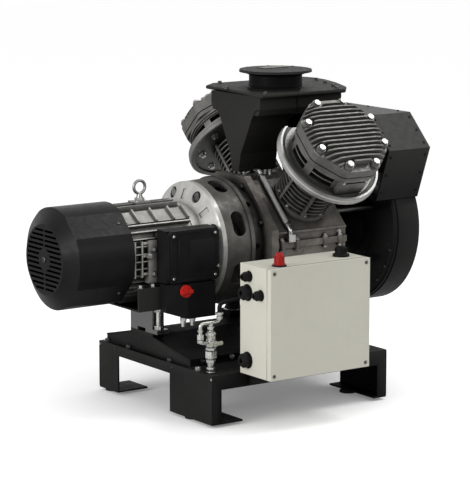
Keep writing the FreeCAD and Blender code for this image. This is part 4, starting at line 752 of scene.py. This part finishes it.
# Crankcase: band under the decks, bolt bosses on the lip, level plugs
SIDES = ((-1, "-y"), (1, "+y"))
CASE_HALF, LIP_BOLT_OUT, LIP_HALF = 181, 186, 13
LIP_BOLTS_X = (66, 118, 218, 270)
BAND, BAND_SIZE = (168, 34), (251, 7, 7)
PLUG = (266, -48)    # X and height from the axis, as in BAND
s = Shape()
for side, way in SIDES:
    s.block(facing(on_axis(BAND[0], side * CASE_HALF, BAND[1]), way), BAND_SIZE, (0, 0, 1.5))
    for x in LIP_BOLTS_X:
        s.drum(facing(on_axis(x, side * LIP_BOLT_OUT, 0), "+z"), 8.5, 8.5, -LIP_HALF, LIP_HALF)
    plug_place = on_axis(PLUG[0], side * CASE_HALF, PLUG[1])
    s.lathe(facing(plug_place, way), [(19, -1), (19, 4), (17, 6), (0.01, 6)])
s.finish("crankcase_bosses", CASE, bevel=1.2)

# Crankcase and banks: lip bolts, plugs, cylinder foot bolts, nuts under the ring plates
FOOT_TOP, FOOT_CIRCLE = 173, 72.2
RING_UNDER, RING_CIRCLE = 333, 113
COVER_SIDE, COVER_SCREW_UP = 125.0, 391
s = Shape()
for side, way in SIDES:
    for x in LIP_BOLTS_X:
        hex_bolt(s, facing(on_axis(x, side * LIP_BOLT_OUT, LIP_HALF), "+z"), 11.0, 6.0)
        s.drum(facing(on_axis(x, side * LIP_BOLT_OUT, -LIP_HALF), "-z"), 6.2, 6.2, 0, 6, 6)
    hex_bolt(s, facing(on_axis(PLUG[0], side * (CASE_HALF + 6), PLUG[1]), way), 19.0, 8.0)
    hex_bolt(s, facing(on_axis(270, side * CASE_HALF, 20), way), 10.0, 5.0)
for side, outward in ((-1, "+y"), (1, "-y")):
    for turn in ring_turns(8, 22.5):
        hex_bolt(s, on_bank(side, 0, 0, FOOT_TOP) @ turn @ moved(FOOT_CIRCLE, 0, 0), 11.0, 7.0)
        ring_spot = on_bank(side, 0, 0, RING_UNDER) @ turn @ moved(RING_CIRCLE, 0, 0)
        hex_bolt(s, ring_spot @ TO["-z"], 14.0, 8.0)
    for x in (-38, 38):
        pan_screw(s, on_bank(side, x, -COVER_SIDE * side, COVER_SCREW_UP) @ TO[outward], *CORNER_SCREW)
s.finish("crankcase_bolts", ZINC)

# Breather: sleeve on the sloping run of the tube, and its clips
TUBE_X, TUBE_RISE = middle_of("breather_tube").x, 230.5


def on_tube(y):
    return on_axis(TUBE_X, y, TUBE_RISE + y)


s = Shape()
s.sweep([on_tube(y) for y in (-48, -92, -136, -180)], 7.8, 24)
s.finish("breather_sleeve", TUBE)

s = Shape()
for y in (-52, -176):
    clip = Matrix.Translation(on_tube(y)) @ Matrix.Rotation(math.radians(135), 4, "X")
    s.drum(clip, 8.9, 8.9, -4, 4)
    s.block(clip, (6, 7, 6), (0, 10.4, 0))
s.finish("breather_clips", SCREW, bevel=0.4)

# Hopper: rolled rim under the lid, neck collar and beads, weld seams
HOPPER_EDGE = ((37, -134), (323, -134), (367, -78), (411, 24), (437, 108), (443, 174), (431, 211),
               (106, 211), (62, 174))
HOPPER_BOLTS = ((56, -120), (182, -120), (306, -120), (338, -62), (376, 26), (404, 108), (400, 190),
                (260, 196), (120, 196), (50, 60))
HOPPER_TOP, NECK_TOP = [box_of(name)[1].z - AXIS[1] for name in ("hopper_lid", "neck_cover")]
NECK_X = middle_of("intake_neck").x
NECK_RINGS = ((78, 1.5, 3.2, 10), (76.3, 10, 1.8, 8), (76.3, 40, 1.8, 8))    # size, lift, bar, sides
HOPPER_WELDS = (
    ((166, -120.3, 410), (166, -120.3, 376), (166, -111, 358.5), (166, -76, 339), (166, -58, 305)),
    ((168, -110.8, 358), (321, -110.8, 358)),
    ((38, -120.4, 377), (38, -98, 371), (38, -76, 338)),
)
s = Shape()
s.sweep([on_axis(x, y, HOPPER_TOP - 5.5) for x, y in HOPPER_EDGE], 5.6, 12, closed=True)
for ring, lift, radius, sides in NECK_RINGS:
    angles = [a / 16 * math.pi for a in range(32)]
    circle = [(NECK_X + ring * math.cos(a), ring * math.sin(a)) for a in angles]
    s.sweep([on_axis(x, y, HOPPER_TOP + lift) for x, y in circle], radius, sides, closed=True)
for run in HOPPER_WELDS:
    s.sweep([on_axis(*place) for place in run], 1.9, 8, ripple=0.14, pitch=2.6)
s.finish("hopper_rim", HOPPER)

s = Shape()
for x, y in HOPPER_BOLTS:
    hex_bolt(s, facing(on_axis(x, y, HOPPER_TOP), "+z"), 10.0, 5.0)
for turn in ring_turns(8, 22.5):
    pan_screw(s, facing(on_axis(NECK_X, 0, NECK_TOP), "+z") @ turn @ moved(94, 0, 0), 3.4, 1.8)
s.finish("hopper_bolts", SCREW)

# A bare plate where the photograph shows a pale strip on the neck's cover
STRIP, STRIP_SIZE, STRIP_EDGE = (196, 38), (84, 30), 2
half_long, half_wide = [size / 2 + STRIP_EDGE for size in STRIP_SIZE]
strip = corners(STRIP[0] - half_long, STRIP[0] + half_long, STRIP[1] - half_wide, STRIP[1] + half_wide)
s = Shape()
s.block(facing(on_axis(*STRIP, NECK_TOP), "+z"), (*STRIP_SIZE, 2.4), (0, 0, 0.6))
s.sweep([on_axis(x, y, NECK_TOP + 1) for x, y in strip], 1.6, 8, closed=True)
s.finish("neck_plate", HEAD, bevel=0.6)

# Fan shroud: screws along both edges of the hood's faces
hood_start, hood_end = [corner.x for corner in box_of("fan_shroud")]
HOOD_LOW, HOOD_WIDE, HOOD_TOP = (218, 103), (273, 252), (180, 345)    # out and up from the axis
HOOD_FACES = ((HOOD_WIDE, HOOD_TOP, 45), (HOOD_LOW, HOOD_WIDE, 110.3))    # two corners and the lean
EDGE_IN = 13
s = Shape()
for x in (hood_start + EDGE_IN, hood_end - EDGE_IN):
    for sy, k in product((-1, 1), (0.14, 0.5, 0.86)):
        for low, high, lean in HOOD_FACES:
            out, lift = [a + (b - a) * k for a, b in zip(low, high)]
            tilt = Matrix.Rotation(math.radians(lean * -sy), 4, "X")
            pan_screw(s, Matrix.Translation(on_axis(x, sy * out, lift)) @ tilt, *SHEET_SCREW)
    for y in (-140, 0, 140):
        pan_screw(s, facing(on_axis(x, y, HOOD_TOP[1]), "+z"), *SHEET_SCREW)
s.finish("hood_screws", HOOD)

# Fan shroud: screws round the drum's flat side and bolts of the wire guard
DRUM_SIDE = box_of("shroud_nose")[1].x
DRUM_LIFT = 9
GUARD_X, GUARD_RADIUS = 530, 139
s = Shape()
for spot in axis_arc(DRUM_SIDE, 214, (*range(-105, -196, -15), 105, 90, 75), DRUM_LIFT):
    pan_screw(s, facing(spot, "-x"), *SHEET_SCREW)
for spot in axis_arc(GUARD_X, GUARD_RADIUS, range(0, 360, 60)):
    hex_bolt(s, facing(spot, "+x"), 10.0, 5.0)
s.finish("shroud_screws", SCREW)

# Fan shroud: seam beads along the hood and round the drum
s = Shape()
for sy in (-1, 1):
    run = ((HOOD_LOW[0], HOOD_LOW[1] + 1), HOOD_WIDE, HOOD_TOP, (0, HOOD_TOP[1]))
    s.sweep([on_axis(hood_start + 1, out * sy, lift) for out, lift in run], 1.8, 8, ripple=0.1, pitch=3.0)
s.sweep(axis_arc(DRUM_SIDE + 1, 207, range(100, 261, 5), DRUM_LIFT), 2.4)
s.sweep(axis_arc(DRUM_SIDE + 1, 120, range(0, 360, 6)), 2.4, closed=True)
s.finish("shroud_seams", HOOD)

# Crank nose: nut against the hub of the fan
HUB_FRONT = 504
s = Shape()
hex_bolt(s, facing(on_axis(HUB_FRONT, 0, 0), "+x"), 30.0, 12.0)
s.finish("crank_nut", ZINC, body="crank_train")

# Base frame and bed: dark bolts and screws, then the bright ones
frame_low, frame_high = box_of("base_frame")
bed_front, bed_back = [corner.y for corner in box_of("engine_bed")]
FRAME_ENDS = ((frame_low.x, "-x"), (frame_high.x, "+x"))
END_SCREW_Z = frame_high.z - 10
DECK_BOLTS_X = (frame_low.x + 14, frame_high.x - 14)
DARK_X, BRIGHT_X, BED_BOLT_Z = (-240, -30, 90, 200), -142, 155
s = Shape()
for x, y in product(DECK_BOLTS_X, (-60, 150, 262)):
    hex_bolt(s, facing(at(x, y, frame_high.z), "+z"), 13.0, 7.0)
for x in DARK_X:
    hex_bolt(s, facing(at(x, bed_front, BED_BOLT_Z), "-y"), 10.0, 6.0)
for x in sorted((*DARK_X, BRIGHT_X)):
    hex_bolt(s, facing(at(x, bed_back, BED_BOLT_Z), "+y"), 10.0, 6.0)
for (x, way), y in product(FRAME_ENDS, (-92, 200)):
    pan_screw(s, facing(at(x, y, END_SCREW_Z), way), *CORNER_SCREW)
s.finish("frame_bolts_dark", SCREW)

s = Shape()
for x in DECK_BOLTS_X:
    hex_bolt(s, facing(at(x, -197, frame_high.z), "+z"), 13.0, 7.0)
hex_bolt(s, facing(at(BRIGHT_X, bed_front, BED_BOLT_Z + 1), "-y"), 10.0, 6.0)
for (x, way), y in product(FRAME_ENDS, (frame_low.y + 4, frame_high.y - 4)):
    pan_screw(s, facing(at(x, y, END_SCREW_Z), way), *CORNER_SCREW)
s.finish("frame_bolts", ZINC)

# Weld beads: round the bed, up its ends, on the legs' corners and round the mount pads
BED_HALF_X = 280
MOUNTS = spots("rubber_mounts", "xy", 25)
PAD_HALF = 31
SEAM_Z = frame_high.z + 0.5
RIDGE = ((bed_front, 164), (45, 198), (125, 198), (bed_back, 164))
PAD_CREST, PAD_SLOPE = 196, 0.17    # the pads' beads drop to both sides of the axis
s = Shape()
for x in (-BED_HALF_X, BED_HALF_X):
    s.sweep([at(x, y, SEAM_Z) for y in (bed_front, bed_back)], 2.2, 8, ripple=0.16, pitch=3.0)
for y in (bed_front, bed_back):
    s.sweep([at(-BED_HALF_X, y, SEAM_Z), at(BED_HALF_X, y, SEAM_Z)], 2.2, 8, ripple=0.16, pitch=3.0)
for x in (-BED_HALF_X - 0.5, BED_HALF_X + 0.5):
    s.sweep([at(x, y, z) for y, z in RIDGE], 1.8, 8, ripple=0.16, pitch=3.0)
for x, y in spots("base_frame", "xy", 0.6):
    s.sweep([at(x, y, frame_low.z + 4), at(x, y, frame_high.z - 2)], 1.8, 8, ripple=0.12, pitch=3.0)
for x, y in MOUNTS:
    pad = corners(x - PAD_HALF, x + PAD_HALF, y - PAD_HALF, y + PAD_HALF)
    s.sweep([at(a, b, PAD_CREST - abs(b - AXIS[0]) * PAD_SLOPE) for a, b in pad], 1.8, 8, closed=True)
s.finish("weld_beads", BLACK)

# Mount plates round the foot and the head of the rubber mounts
mount_low, mount_high = box_of("rubber_mounts")
PLATE = 3
s = Shape()
for x, y in MOUNTS:
    foot, head = [facing(at(x, y, z), "+z") for z in (mount_low.z, mount_high.z - PLATE)]
    s.lathe(foot, [(27.5, 0), (27.5, PLATE - 0.6), (26.5, PLATE), (0.01, PLATE)])
    s.lathe(head, [(26.5, 0), (27.5, 0.6), (27.5, PLATE), (0.01, PLATE)])
s.finish("mount_plates", ZINC)

# Drain valve: union nuts, collars, the nuts of both branches and the spindle's gland
VALVE_X, VALVE_Y = -270, middle_of("drain_valve").y
NUTS = ((20, 150, 158), (22, 170, 179), (24, 205, 212), (24, 245, 252), (16, 262, 270))
COLLARS = ((12.0, 144, 147), (10.5, 181, 184), (14.5, 222, 229), (9.0, 256, 259))
BRANCH_NUTS = ((-304, 15, 228, 236), (-304, 13, 258, 264), (-242, 15, 286, 295), (-242, 18, 298, 306))
s = Shape()
valve = facing(at(VALVE_X, VALVE_Y, 0), "+z")
for across, low, high in NUTS:
    hexagon(s, valve, across, low, high)
for radius, low, high in COLLARS:
    s.lathe(valve, [(radius * 0.9, low), (radius, low + 0.8), (radius, high - 0.8), (radius * 0.9, high)], 28)
for x, across, low, high in BRANCH_NUTS:
    hexagon(s, facing(at(x, VALVE_Y, 0), "+z"), across, low, high)
s.drum(facing(at(VALVE_X, VALVE_Y - 11, 226), "-y"), 8.5, 8.5, 0, 5, 6)
s.finish("valve_nuts", ZINC, bevel=0.5)
